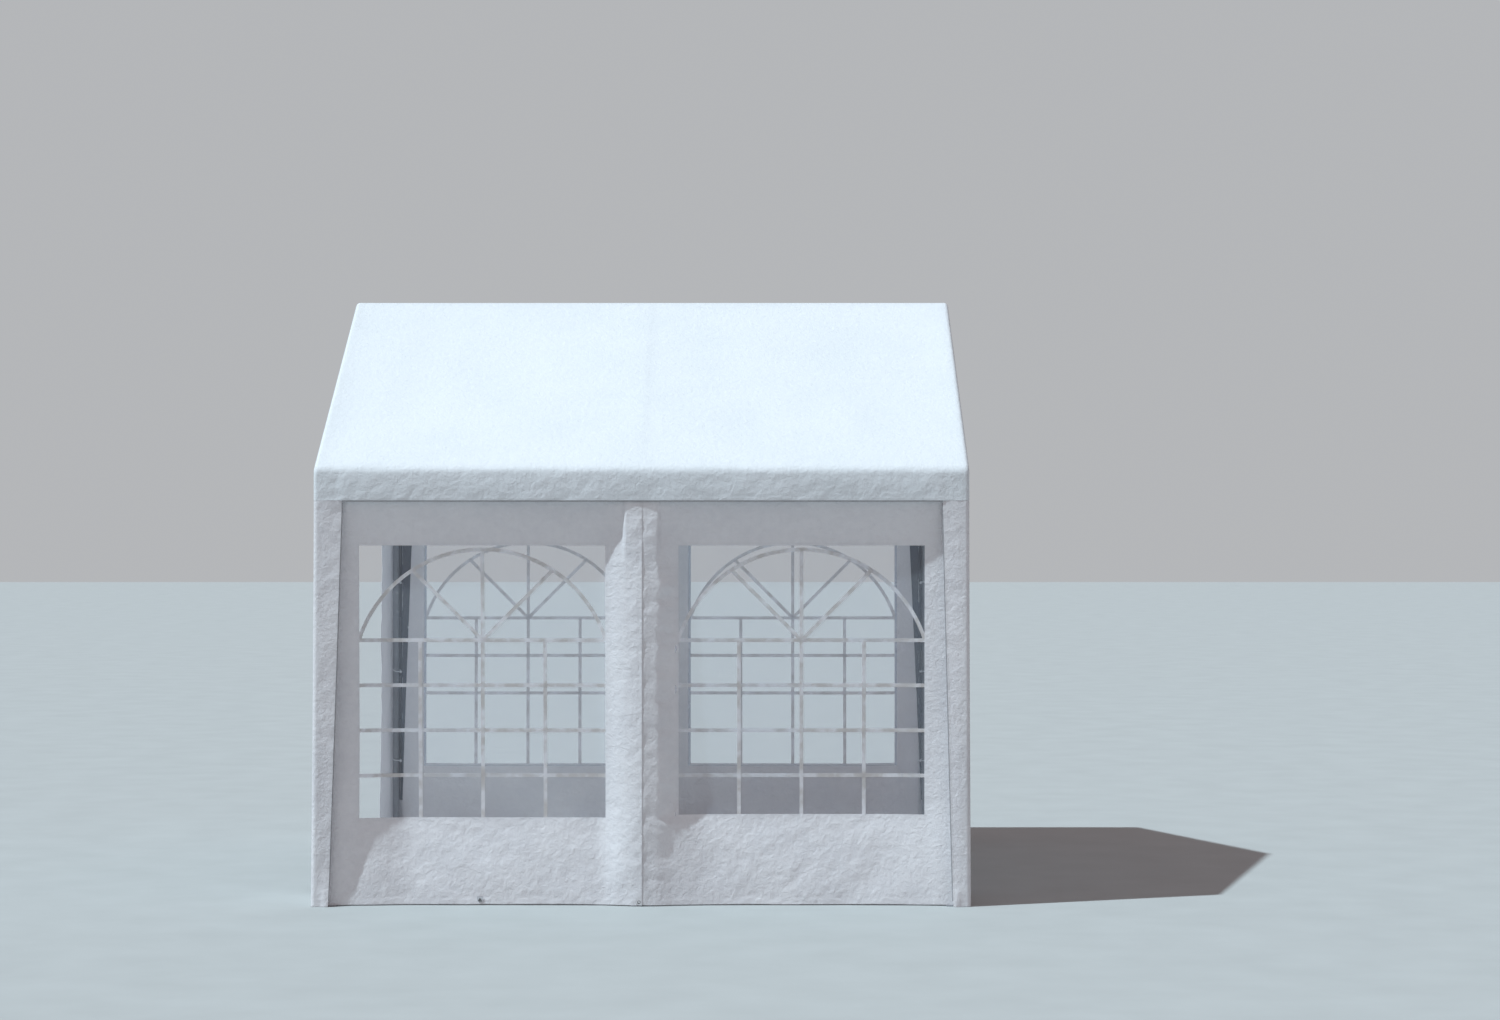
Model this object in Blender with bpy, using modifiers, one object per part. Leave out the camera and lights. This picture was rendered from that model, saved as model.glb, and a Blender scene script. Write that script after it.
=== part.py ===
"""A marquee tent: a tube frame on six legs under a ridged fabric roof with valances, walled on two sides.

Metres, +Z up. The origin is on the ground under the middle of the tent. +X runs along the ridge to the
right as seen from the front, and the front wall faces -Y. The two gable ends are open doorways.
"""

import math

import bmesh
import bpy
from mathutils import Matrix, Vector

# The tent as a whole
LENGTH = 3.0
WIDTH = 3.0
EAVE_HEIGHT = 2.005
RIDGE_HEIGHT = 2.865

# Fabric
FABRIC = 0.003
FILM = 0.001
GAP = 0.0003
VALANCE_DROP = 0.148
GABLE_HEM = 0.06
WALL_TUCK = 0.012
RECESS_AT_SILL = 0.1
RECESS_AT_HEAD = 0.06
WALL_FLAT_BORDER = 0.02
GROUND_CLEARANCE = 0.006

# Windows, each placed from the middle leg
WINDOW_WIDTH = 1.13
WINDOW_HEIGHT = 1.24
WINDOW_SILL = 0.41
WINDOW_FROM_MIDDLE = 0.168
WINDOW_FLAT_BORDER = 0.012

# Gable ends
DOORWAY_WIDTH = 2.08
DOORWAY_HEIGHT = 1.86
STRIP_TOP_WIDTH = 0.13
STRIP_BASE_WIDTH = 0.085
STRIP_COVER = 0.09
ROLL_RADIUS = 0.045
ROLL_LIFT = 0.01
ROLL_END_CLEARANCE = 0.02
ROLL_SIDES = 16
ROLL_END_ROUNDING = 0.012

# Steel frame
TUBE_RADIUS = 0.019
TUBE_WALL = 0.0012
SLEEVE_WALL = 0.0015
SLEEVE_ARM = 0.12
SLEEVE_CLEARANCE = 0.0003
CAP_SETBACK = 0.004
ARM_OVERLAP = 0.006
SOCKET_STOP = 0.002
TUBE_SETBACK = 0.03
ROUND_SIDES = 12
PLATE_SIDE = 0.1
PLATE_THICKNESS = 0.004
PLATE_ROUNDING = 0.008
PEG_HOLE_RADIUS = 0.007
PEG_HOLE_INSET = 0.018
CUT_MARGIN = 0.02
WELD_DISTANCE = 0.00005

# Places that follow from the sizes above
SLOPE = math.atan2(RIDGE_HEIGHT - EAVE_HEIGHT, WIDTH / 2)
SLEEVE_BORE = TUBE_RADIUS + SLEEVE_CLEARANCE
SLEEVE_RADIUS = SLEEVE_BORE + SLEEVE_WALL
STRIP_FACE = GAP + FABRIC
WALL_FACE = STRIP_FACE + FABRIC + GAP
WALL_BACK = WALL_FACE + FABRIC
POST_Y = WIDTH / 2 - WALL_BACK - GAP - SLEEVE_RADIUS
POST_X = LENGTH / 2 - STRIP_FACE - FABRIC - GAP - SLEEVE_RADIUS
AXIS_DEPTH = FABRIC + GAP + SLEEVE_RADIUS
WALL_TOP = EAVE_HEIGHT - WALL_TUCK
VALANCE_BOTTOM = EAVE_HEIGHT - VALANCE_DROP

ENDS = {"left": -1, "right": 1}
SIDES = {"front": -1, "back": 1}
STATIONS = {"left": -POST_X, "middle": 0.0, "right": POST_X}


def roof_line(y, depth):
    """The height at y of a line that runs parallel to the roof's outer face, a depth below it."""
    return RIDGE_HEIGHT - depth / math.cos(SLOPE) - abs(y) * math.tan(SLOPE)


EAVE_AXIS = roof_line(POST_Y, AXIS_DEPTH)
RIDGE_AXIS = roof_line(0, AXIS_DEPTH)


def clear_scene():
    """Removes whatever the scene holds before the tent is made."""
    for thing in list(bpy.data.objects):
        bpy.data.objects.remove(thing, do_unlink=True)


def make_collection(name):
    """Makes a collection and links it to the scene."""
    made = bpy.data.collections.new(name)
    bpy.context.scene.collection.children.link(made)
    return made


def make_material(name, colour, roughness, metallic=0.0, alpha=1.0):
    """Makes a plain material of one colour."""
    made = bpy.data.materials.new(name)
    made.use_nodes = True
    shader = made.node_tree.nodes["Principled BSDF"]
    shader.inputs["Base Color"].default_value = (*colour, 1.0)
    shader.inputs["Roughness"].default_value = roughness
    shader.inputs["Metallic"].default_value = metallic
    shader.inputs["Alpha"].default_value = alpha
    made.diffuse_color = (*colour, alpha)
    return made


def add_object(name, mesh, group, surface=None):
    """Makes an object from a mesh and puts it in a collection."""
    made = bpy.data.objects.new(name, mesh)
    group.objects.link(made)
    if surface:
        mesh.materials.append(surface)
    if group is tools:
        made.hide_render = True
        made.display_type = "WIRE"
    return made


def mesh_from(form, name):
    """Turns a bmesh into a mesh with its faces pointing out."""
    bmesh.ops.recalc_face_normals(form, faces=form.faces)
    mesh = bpy.data.meshes.new(name)
    form.to_mesh(mesh)
    form.free()
    return mesh


def box(name, low, high, group, surface=None):
    """A box between two corners, placed by its centre."""
    low, high = Vector(low), Vector(high)
    form = bmesh.new()
    bmesh.ops.create_cube(form, size=1.0)
    bmesh.ops.scale(form, vec=high - low, verts=form.verts)
    made = add_object(name, mesh_from(form, name), group, surface)
    made.location = (low + high) / 2
    return made


def along(start, end, turn=0.0):
    """Puts local +Z along the line from start to end, its origin half way, with the facets turned."""
    start, end = Vector(start), Vector(end)
    z_axis = (end - start).normalized()
    guide = Vector((0, 0, 1)) if abs(z_axis.x) > abs(z_axis.z) else Vector((1, 0, 0))
    x_axis = guide.cross(z_axis).normalized()
    axes = Matrix((x_axis, z_axis.cross(x_axis), z_axis)).transposed()
    return Matrix.Translation((start + end) / 2) @ axes.to_4x4() @ Matrix.Rotation(turn, 4, "Z")


def rod(name, start, end, radius, group, surface=None, sides=ROUND_SIDES, turn=0.0):
    """A solid round bar between two points."""
    form = bmesh.new()
    length = (Vector(end) - Vector(start)).length
    bmesh.ops.create_cone(
        form, cap_ends=True, segments=sides, radius1=radius, radius2=radius, depth=length
    )
    mesh = mesh_from(form, name)
    mesh.shade_smooth()
    mesh.set_sharp_from_angle(angle=math.radians(40))
    made = add_object(name, mesh, group, surface)
    made.matrix_world = along(start, end, turn)
    return made


def tube(name, start, end, group, surface):
    """An open steel tube between two points: its wall's section turned about the line."""
    half = (Vector(end) - Vector(start)).length / 2
    inner = TUBE_RADIUS - TUBE_WALL
    section = [(TUBE_RADIUS, half), (TUBE_RADIUS, -half), (inner, -half), (inner, half)]
    mesh = bpy.data.meshes.new(name)
    mesh.from_pydata([(x, 0, z) for x, z in section], [(0, 1), (1, 2), (2, 3), (3, 0)], [])
    made = add_object(name, mesh, group, surface)
    made.matrix_world = along(start, end)
    turned = made.modifiers.new("turned", "SCREW")
    turned.steps = ROUND_SIDES
    turned.render_steps = ROUND_SIDES
    turned.use_merge_vertices = True
    turned.merge_threshold = 0.00001
    turned.use_smooth_shade = True
    return made


def flat_outline(name, points, thickness, placement, group, surface=None):
    """A flat sheet with a straight-sided outline, made as a filled 2D curve and kept as a mesh."""
    curve = bpy.data.curves.new(name, "CURVE")
    curve.dimensions = "2D"
    curve.fill_mode = "BOTH"
    curve.extrude = thickness / 2
    outline = curve.splines.new("POLY")
    outline.points.add(len(points) - 1)
    for point, (u, v) in zip(outline.points, points):
        point.co = (u, v, 0, 1)
    outline.use_cyclic_u = True
    guide = bpy.data.objects.new(name + "_outline", curve)
    bpy.context.scene.collection.objects.link(guide)
    bpy.context.view_layer.update()
    mesh = bpy.data.meshes.new_from_object(guide.evaluated_get(bpy.context.evaluated_depsgraph_get()))
    bpy.data.objects.remove(guide)
    form = bmesh.new()
    form.from_mesh(mesh)
    bmesh.ops.remove_doubles(form, verts=form.verts, dist=0.00001)
    made = add_object(name, mesh_from(form, name), group, surface)
    made.matrix_world = placement
    return made


def upright(y):
    """A placement for an outline drawn in X and Z, on a plane across Y."""
    turn = Matrix(((1, 0, 0), (0, 0, -1), (0, 1, 0)))
    return Matrix.Translation((0, y, 0)) @ turn.to_4x4()


def crosswise(x):
    """A placement for an outline drawn in Y and Z, on a plane across X."""
    turn = Matrix(((0, 0, 1), (1, 0, 0), (0, 1, 0)))
    return Matrix.Translation((x, 0, 0)) @ turn.to_4x4()


def combine(target, other, operation, solver="EXACT"):
    """Joins another solid to the target, or cuts it out."""
    step = target.modifiers.new(other.name, "BOOLEAN")
    step.operation = operation
    step.solver = solver
    step.object = other


def weld(target):
    """Closes up the hair-thin edges that cuts and joins leave where surfaces meet."""
    step = target.modifiers.new("weld", "WELD")
    step.merge_threshold = WELD_DISTANCE


def steel_frame():
    """The legs, beams and rafters, and the sleeved connectors that hold them together."""
    for station, x in STATIONS.items():
        ridge_node = Vector((x, 0, RIDGE_AXIS))
        connector(f"ridge_connector_{station}", ridge_node, [rafter_direction(-1), rafter_direction(1)])
        for side, sign in SIDES.items():
            eave_node = Vector((x, sign * POST_Y, EAVE_AXIS))
            uphill = -rafter_direction(sign)
            connector(f"eave_connector_{side}_{station}", eave_node, [Vector((0, 0, -1)), uphill])
            tube(
                f"rafter_{side}_{station}",
                eave_node + uphill * TUBE_SETBACK,
                ridge_node - uphill * TUBE_SETBACK,
                parts,
                steel,
            )
            leg(f"leg_{side}_{station}", x, sign)
    for end, direction in ENDS.items():
        inner, outer = direction * TUBE_SETBACK, direction * (POST_X - TUBE_SETBACK)
        tube(f"ridge_beam_{end}", (inner, 0, RIDGE_AXIS), (outer, 0, RIDGE_AXIS), parts, steel)
        for side, sign in SIDES.items():
            y = sign * POST_Y
            tube(f"eave_beam_{side}_{end}", (inner, y, EAVE_AXIS), (outer, y, EAVE_AXIS), parts, steel)


def rafter_direction(sign):
    """The way down a rafter from the ridge, to the front for -1 and to the back for +1."""
    return Vector((0, sign * POST_Y, EAVE_AXIS - RIDGE_AXIS)).normalized()


def connector(name, node, arm_directions):
    """A welded sleeve for each tube that meets at a node, each with a socket bored into its mouth."""
    sideways = [Vector((direction, 0, 0)) for direction in (-1, 1) if node.x * direction < CUT_MARGIN]
    reach = Vector((SLEEVE_ARM, 0, 0))
    closed = Vector((SLEEVE_RADIUS - CAP_SETBACK, 0, 0))
    left = node - (reach if node.x > -CUT_MARGIN else closed)
    right = node + (reach if node.x < CUT_MARGIN else closed)
    facet = math.tau / ROUND_SIDES
    body = rod(name, left, right, SLEEVE_RADIUS, parts, steel, turn=facet / 2)
    for number, direction in enumerate(arm_directions):
        root, tip = node - direction * ARM_OVERLAP, node + direction * SLEEVE_ARM
        arm = rod(f"{name}_arm_{number}", root, tip, SLEEVE_RADIUS, tools, turn=facet / 4 * number)
        combine(body, arm, "UNION", "MANIFOLD")
    for number, direction in enumerate(sideways + arm_directions):
        bottom = node + direction * (TUBE_SETBACK - SOCKET_STOP)
        mouth = node + direction * (SLEEVE_ARM + CUT_MARGIN)
        socket = rod(f"{name}_socket_{number}", bottom, mouth, SLEEVE_BORE, tools)
        combine(body, socket, "DIFFERENCE", "MANIFOLD")
    weld(body)


def leg(name, x, sign):
    """A leg tube welded to a foot plate that reaches inwards, with a hole for a ground peg."""
    y = sign * POST_Y
    made = tube(name, (x, y, PLATE_THICKNESS / 2), (x, y, EAVE_AXIS - TUBE_SETBACK), parts, steel)
    inward_x = -math.copysign(1, x) if abs(x) > CUT_MARGIN else 0
    centre_x = x + inward_x * (PLATE_SIDE / 2 - SLEEVE_RADIUS)
    centre_y = y - sign * (PLATE_SIDE / 2 - SLEEVE_RADIUS)
    half = PLATE_SIDE / 2
    plate = box(
        f"{name}_plate",
        (centre_x - half, centre_y - half, 0),
        (centre_x + half, centre_y + half, PLATE_THICKNESS),
        tools,
    )
    rounding = plate.modifiers.new("rounded_corners", "BEVEL")
    rounding.width = PLATE_ROUNDING
    rounding.segments = 2
    rounding.limit_method = "WEIGHT"
    mark_upright_edges(plate)
    combine(made, plate, "UNION")
    peg_x = centre_x + inward_x * (half - PEG_HOLE_INSET)
    peg_y = centre_y - sign * (half - PEG_HOLE_INSET)
    hole = rod(
        f"{name}_peg_hole",
        (peg_x, peg_y, -CUT_MARGIN),
        (peg_x, peg_y, PLATE_THICKNESS + CUT_MARGIN),
        PEG_HOLE_RADIUS,
        tools,
    )
    combine(made, hole, "DIFFERENCE")
    weld(made)


def mark_upright_edges(plate):
    """Gives a box's four upright edges their full bevel weight, so that only they are rounded."""
    mesh = plate.data
    weights = mesh.attributes.new("bevel_weight_edge", "FLOAT", "EDGE")
    for edge in mesh.edges:
        low, high = (mesh.vertices[index].co for index in edge.vertices)
        weights.data[edge.index].value = 1.0 if abs(low.z - high.z) > PLATE_THICKNESS / 2 else 0.0


def gable_outline(half_width, depth, bottom):
    """The tent's end outline in Y and Z: two upright sides under the two slopes, a depth inside the roof."""
    shoulder = roof_line(half_width, depth)
    return [
        (-half_width, bottom),
        (half_width, bottom),
        (half_width, shoulder),
        (0, roof_line(0, depth)),
        (-half_width, shoulder),
    ]


def roof_cover():
    """The roof's two slopes with the valances along the eaves and a hem round each gable."""
    cover = flat_outline(
        "roof_cover",
        gable_outline(WIDTH / 2, 0, VALANCE_BOTTOM),
        LENGTH,
        crosswise(0),
        parts,
        roof_fabric,
    )
    below = VALANCE_BOTTOM - CUT_MARGIN
    hollow = flat_outline(
        "roof_hollow",
        gable_outline(WIDTH / 2 - FABRIC, FABRIC, below),
        LENGTH - 2 * FABRIC,
        crosswise(0),
        tools,
    )
    gable_cut = flat_outline(
        "roof_gable_cut",
        gable_outline(WIDTH / 2 - GABLE_HEM, GABLE_HEM, below - CUT_MARGIN),
        LENGTH + 2 * CUT_MARGIN,
        crosswise(0),
        tools,
    )
    combine(cover, hollow, "DIFFERENCE")
    combine(cover, gable_cut, "DIFFERENCE")


def side_walls():
    """Two wall panels on each side, dished in between the legs, each with a window and its clear film."""
    near, far = WINDOW_FROM_MIDDLE, WINDOW_FROM_MIDDLE + WINDOW_WIDTH
    sill, head = WINDOW_SILL, WINDOW_SILL + WINDOW_HEIGHT
    outer_x = LENGTH / 2 - STRIP_FACE - FABRIC - GAP
    columns = [
        GAP / 2,
        SLEEVE_RADIUS + WALL_FLAT_BORDER,
        near - WINDOW_FLAT_BORDER,
        far + WINDOW_FLAT_BORDER,
        POST_X - SLEEVE_RADIUS - WALL_FLAT_BORDER,
        outer_x,
    ]
    rows = [
        GROUND_CLEARANCE,
        GROUND_CLEARANCE + WALL_FLAT_BORDER,
        sill - WINDOW_FLAT_BORDER,
        head + WINDOW_FLAT_BORDER,
        EAVE_AXIS - SLEEVE_RADIUS - WALL_FLAT_BORDER,
        WALL_TOP,
    ]
    recess = (RECESS_AT_SILL + RECESS_AT_HEAD) / 2
    lean = math.atan2(RECESS_AT_SILL - RECESS_AT_HEAD, rows[3] - rows[2])
    for side, sign in SIDES.items():
        face_y = sign * (WIDTH / 2 - WALL_FACE)
        film_y = face_y - sign * (recess + FABRIC / 2)
        for end, direction in ENDS.items():
            place = f"{side}_{end}"
            wall = dished_sheet(f"wall_{place}", [direction * x for x in columns], rows, face_y, sign)
            pane = sorted((direction * near, direction * far))
            cut = box(
                f"window_cut_{place}",
                (pane[0], film_y - CUT_MARGIN, sill),
                (pane[1], film_y + CUT_MARGIN, head),
                tools,
            )
            cut.rotation_euler.x = -sign * lean
            combine(wall, cut, "DIFFERENCE")
            film = box(
                f"window_film_{place}",
                (pane[0] + GAP, film_y - FILM / 2, sill + GAP),
                (pane[1] - GAP, film_y + FILM / 2, head - GAP),
                parts,
                window_film,
            )
            film.rotation_euler.x = -sign * lean


def dished_sheet(name, columns, rows, face_y, sign):
    """A wall sheet on a grid of columns and rows: flat round its edge, and set in round its window."""
    recesses = {2: RECESS_AT_SILL, 3: RECESS_AT_HEAD}
    cells = len(columns) - 1
    form = bmesh.new()
    bmesh.ops.create_grid(form, x_segments=cells, y_segments=cells, size=1)
    for vert in form.verts:
        column = round((vert.co.x + 1) / 2 * cells)
        row = round((vert.co.y + 1) / 2 * cells)
        set_in = recesses.get(row, 0) if column in (2, 3) else 0
        vert.co = (columns[column], face_y - sign * set_in, rows[row])
    form.normal_update()
    if any(face.normal.y * sign < 0 for face in form.faces):
        bmesh.ops.reverse_faces(form, faces=form.faces)
    mesh = bpy.data.meshes.new(name)
    form.to_mesh(mesh)
    form.free()
    sheet = add_object(name, mesh, parts, wall_fabric)
    thick = sheet.modifiers.new("thickness", "SOLIDIFY")
    thick.thickness = FABRIC
    thick.offset = -1
    thick.use_even_offset = True
    return sheet


def gable_ends():
    """The gable panel over each doorway, the strips that turn the corners, and the rolled-up curtain."""
    for end, direction in ENDS.items():
        fabric_x = direction * (LENGTH / 2 - STRIP_FACE - FABRIC / 2)
        flat_outline(
            f"gable_panel_{end}",
            gable_outline(WIDTH / 2 - STRIP_FACE - FABRIC - GAP, FABRIC + GAP, DOORWAY_HEIGHT),
            FABRIC,
            crosswise(fabric_x),
            parts,
            wall_fabric,
        )
        for side, sign in SIDES.items():
            corner_strip(f"corner_strip_{side}_{end}", direction, sign)
        roll_x = direction * (LENGTH / 2 - STRIP_FACE - FABRIC - GAP - ROLL_RADIUS)
        roll_z = DOORWAY_HEIGHT + ROLL_LIFT
        half = DOORWAY_WIDTH / 2 - ROLL_END_CLEARANCE
        roll = rod(
            f"door_curtain_{end}",
            (roll_x, -half, roll_z),
            (roll_x, half, roll_z),
            ROLL_RADIUS,
            parts,
            wall_fabric,
            ROLL_SIDES,
        )
        rounding = roll.modifiers.new("soft_ends", "BEVEL")
        rounding.width = ROLL_END_ROUNDING
        rounding.segments = 2
        rounding.limit_method = "ANGLE"
        rounding.angle_limit = math.radians(60)


def corner_strip(name, direction, sign):
    """The fabric beside a doorway, which turns the corner and laps over the end of the side wall."""
    outer_x = direction * (LENGTH / 2 - STRIP_FACE)
    outer_y = sign * (WIDTH / 2 - STRIP_FACE)
    door_edge = sign * DOORWAY_WIDTH / 2
    beside_door = [
        (outer_y, GROUND_CLEARANCE),
        (door_edge, GROUND_CLEARANCE),
        (door_edge, DOORWAY_HEIGHT - GAP),
        (outer_y, DOORWAY_HEIGHT - GAP),
    ]
    strip = flat_outline(
        name, beside_door, FABRIC, crosswise(outer_x - direction * FABRIC / 2), parts, wall_fabric
    )
    lap_top = VALANCE_BOTTOM + STRIP_COVER
    lap = [
        (outer_x, GROUND_CLEARANCE),
        (outer_x - direction * STRIP_BASE_WIDTH, GROUND_CLEARANCE),
        (outer_x - direction * STRIP_TOP_WIDTH, VALANCE_BOTTOM),
        (outer_x - direction * STRIP_TOP_WIDTH, lap_top),
        (outer_x, lap_top),
    ]
    wing = flat_outline(f"{name}_lap", lap, FABRIC, upright(outer_y - sign * FABRIC / 2), tools)
    combine(strip, wing, "UNION")
    weld(strip)


clear_scene()
parts = make_collection("marquee_tent")
tools = make_collection("tools")
roof_fabric = make_material("roof_fabric", (0.79, 0.92, 0.98), 0.6)
wall_fabric = make_material("wall_fabric", (0.50, 0.53, 0.60), 0.65)
window_film = make_material("window_film", (0.80, 0.86, 0.95), 0.15, alpha=0.35)
steel = make_material("steel", (0.37, 0.38, 0.40), 0.4, metallic=0.3)
steel_frame()
roof_cover()
side_walls()
gable_ends()
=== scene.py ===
"""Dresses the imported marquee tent: cloth, clear film, bars, fastenings and materials round its fixed frame.

Metres, +Z up. The front wall faces -Y, and the two gable ends, at -X and +X, are open doorways.
"""

import math

import bmesh
import bpy
import numpy as np
from mathutils import Matrix, Vector


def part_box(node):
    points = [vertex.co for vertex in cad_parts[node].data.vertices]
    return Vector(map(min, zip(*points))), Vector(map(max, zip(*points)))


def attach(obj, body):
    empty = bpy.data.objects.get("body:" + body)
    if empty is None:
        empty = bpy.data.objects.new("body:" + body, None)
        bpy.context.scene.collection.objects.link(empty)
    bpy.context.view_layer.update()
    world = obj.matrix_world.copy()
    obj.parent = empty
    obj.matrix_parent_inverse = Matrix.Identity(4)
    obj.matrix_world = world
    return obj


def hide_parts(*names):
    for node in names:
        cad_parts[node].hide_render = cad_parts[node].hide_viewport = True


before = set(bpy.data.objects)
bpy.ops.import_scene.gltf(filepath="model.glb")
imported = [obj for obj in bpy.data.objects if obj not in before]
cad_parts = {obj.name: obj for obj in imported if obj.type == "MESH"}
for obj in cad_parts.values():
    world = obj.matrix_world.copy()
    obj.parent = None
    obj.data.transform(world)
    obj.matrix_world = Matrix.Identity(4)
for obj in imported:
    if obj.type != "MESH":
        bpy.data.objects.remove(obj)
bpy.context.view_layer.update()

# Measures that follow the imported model
ROOF_LOW, ROOF_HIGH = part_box("roof_cover")
HALF_LENGTH, HALF_WIDTH, RIDGE = ROOF_HIGH
VALANCE_BOTTOM = ROOF_LOW.z
EAVE = 2.005
VALANCE_DROP = EAVE - VALANCE_BOTTOM
VALANCE_FREE = 1.392
GABLE_HEM = 0.06
SLOPE = math.atan2(RIDGE - EAVE, HALF_WIDTH)
WALL_FACE = HALF_WIDTH - 0.0066
WALL_TOP = 1.993
GROUND_CLEARANCE = 0.006
HEM_TOP = GROUND_CLEARANCE + 0.022
STRIP_CLEARANCE = 0.0015
WINDOW_NEAR = 0.168
WINDOW_FAR = WINDOW_NEAR + 1.13
WINDOW_HEAD = 1.65
WINDOW_ROWS = 92
WALL_END = 1.4825
DOOR_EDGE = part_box("door_curtain_left")[1].y + 0.02
DOOR_TOP = 1.86
LEG_X = 1.4726
LEG_Y = 1.4693
LEG_RADIUS = 0.019
EAVE_AXIS = 1.9948
RIDGE_AXIS = 2.8372

# Measures of the cloth
CLOTH = 0.0013
FILM = 0.0006
SHADE_BAND_THICKNESS = 0.0006
TAPE = 0.0008
BEHIND_CLOTH = CLOTH + 0.0004
TAPE_PAIR = 0.0058
CLOTH_SHARP = math.radians(50)
SOLID_SHARP = math.radians(40)
EDGE_ROUND = 0.02
EAVE_ROUND = 0.045
RIDGE_ROUND = 0.014
HEM = 0.014
STRIP_PLANE = HALF_WIDTH - 0.0002
# The middle and the half width of the part of the film that isn't welded, across and up
FILM_CLEAR = (((WINDOW_NEAR + WINDOW_FAR) / 2, (WINDOW_FAR - WINDOW_NEAR) / 2), (1.024, 0.626))

SIDES = {"front": -1, "back": 1}
ENDS = {"left": -1, "right": 1}
COLUMNS = {"left": -1, "middle": 0, "right": 1}
SILLS = {"front_left": 0.398, "front_right": 0.413, "back_left": 0.41, "back_right": 0.41}
PLACES = sorted(SILLS)
STRIP_INNER = {
    "front_left": (1.369, 1.431),
    "front_right": (1.378, 1.425),
    "back_left": (1.372, 1.428),
    "back_right": (1.375, 1.43),
}
# Where the painted shade band on each wall's back starts, at the top and at the foot
SHADE_BAND_INNER = {
    "front_left": (1.3744, 1.442),
    "front_right": (1.3727, 1.45),
    "back_left": (1.3744, 1.442),
    "back_right": (1.3727, 1.4564),
}
STRIP_FLARE = {"front_left": 0.012, "front_right": 0.007, "back_left": 0.008, "back_right": 0.01}
LAP_SLOPE = {"left": 0.045, "right": 0.008}

# Measures of the bars and the fastenings
BAR_WIDTH = 0.0172
BAR_HEIGHTS = (1.2146, 1.007, 0.7995, 0.592)
BAR_SPACING = 0.2875
ARC_RADIUS = 0.594
ARC_CENTRE = 1.0376
STRAPS = (-0.72, 0.0, 0.72)
EYELET_X = 0.0112
PEG_LOOP_X = 0.742
LOOP_HEIGHTS = (1.418, 0.924, 0.429)
BALL = ((0, -0.0075), (0.0045, -0.006), (0.0072, -0.002), (0.0072, 0.002), (0.0045, 0.006), (0, 0.0075))
SCREW_ALONG = 0.092
SLEEVE_FACE = 0.0206

# Light and camera
TO_LIGHT = (-0.512, -0.179, 0.84)
KEY_STRENGTH = 4.12
KEY_COLOUR = (0.765, 0.915, 1.0)
KEY_WIDTH = 0.9
FILL_COLOUR = (1.02, 0.9, 0.935)
FILL_STRENGTH = 0.383
FLOOR_LOW = (0.392, 0.408, 0.404)
FLOOR_HIGH = (0.416, 0.434, 0.43)
BACKDROP = (0.46, 0.47, 0.485)
EYE = (0.4963, -15.15, 1.813)
LENS = 71.7


def lattice_noise(u, v, seed):
    """Smooth noise between -1 and 1, with one random value at each whole number of u and v."""
    low_u, low_v = math.floor(u.min()), math.floor(v.min())
    size = (math.ceil(u.max()) - low_u + 3, math.ceil(v.max()) - low_v + 3)
    values = np.random.default_rng(seed).uniform(-1, 1, size)
    column, row = np.floor(u).astype(int), np.floor(v).astype(int)
    part_u, part_v = u - column, v - row
    part_u = part_u * part_u * (3 - 2 * part_u)
    part_v = part_v * part_v * (3 - 2 * part_v)
    i, j = column - low_u, row - low_v
    lower = values[i, j] * (1 - part_u) + values[i + 1, j] * part_u
    upper = values[i, j + 1] * (1 - part_u) + values[i + 1, j + 1] * part_u
    return lower * (1 - part_v) + upper * part_v


def creases(u, v, angle, length, width, seed):
    """Noise drawn out along one direction, as soft creases that are so long and so wide."""
    turn = math.radians(angle)
    along = u * math.cos(turn) + v * math.sin(turn)
    across = v * math.cos(turn) - u * math.sin(turn)
    return lattice_noise(along / length, across / width, seed)


def layered(u, v, seed, *layers):
    """The sum of several creases, each given as its height, angle, length and width."""
    return sum(high * creases(u, v, *layer, seed + number) for number, (high, *layer) in enumerate(layers))


def crumple(u, v, seed):
    """The mixed soft creases of sheeting that was packed folded, about 1 at their highest."""
    wide = ((0.45, 52, 0.11, 0.035), (0.35, -38, 0.09, 0.03), (0.3, 8, 0.16, 0.05))
    return layered(u, v, seed, *wide, (0.2, 75, 0.05, 0.018))


def smooth_curve(stations, values, at, blur):
    """Values between stations, with the corners of the curve rounded over a distance."""
    step = 0.002
    low, high = stations[0] - 2 * blur, stations[-1] + 2 * blur
    fine = np.arange(low, high, step)
    window = np.hanning(max(3, int(2 * blur / step) + 1))
    padded = np.interp(fine, stations, values)
    rounded = np.convolve(padded, window / window.sum(), mode="same")
    edge = len(window) // 2
    rounded[:edge], rounded[-edge:] = padded[:edge], padded[-edge:]
    return np.interp(at, fine, rounded)


def ramp(value, low, high):
    """0 below low and 1 above high, easing in between."""
    part = np.clip((value - low) / (high - low), 0, 1)
    return part * part * (3 - 2 * part)


def fade(value, low, high):
    """1 below low and 0 above high, easing in between."""
    return 1 - ramp(value, low, high)


def spread(*stops):
    """Grid lines between stops, each given as a place and the number of cells up to the next one."""
    lines = []
    for (place, cells), (after, _) in zip(stops, stops[1:]):
        lines.extend(np.linspace(place, after, cells, endpoint=False))
    lines.append(stops[-1][0])
    return np.array(lines)


# Materials


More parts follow.
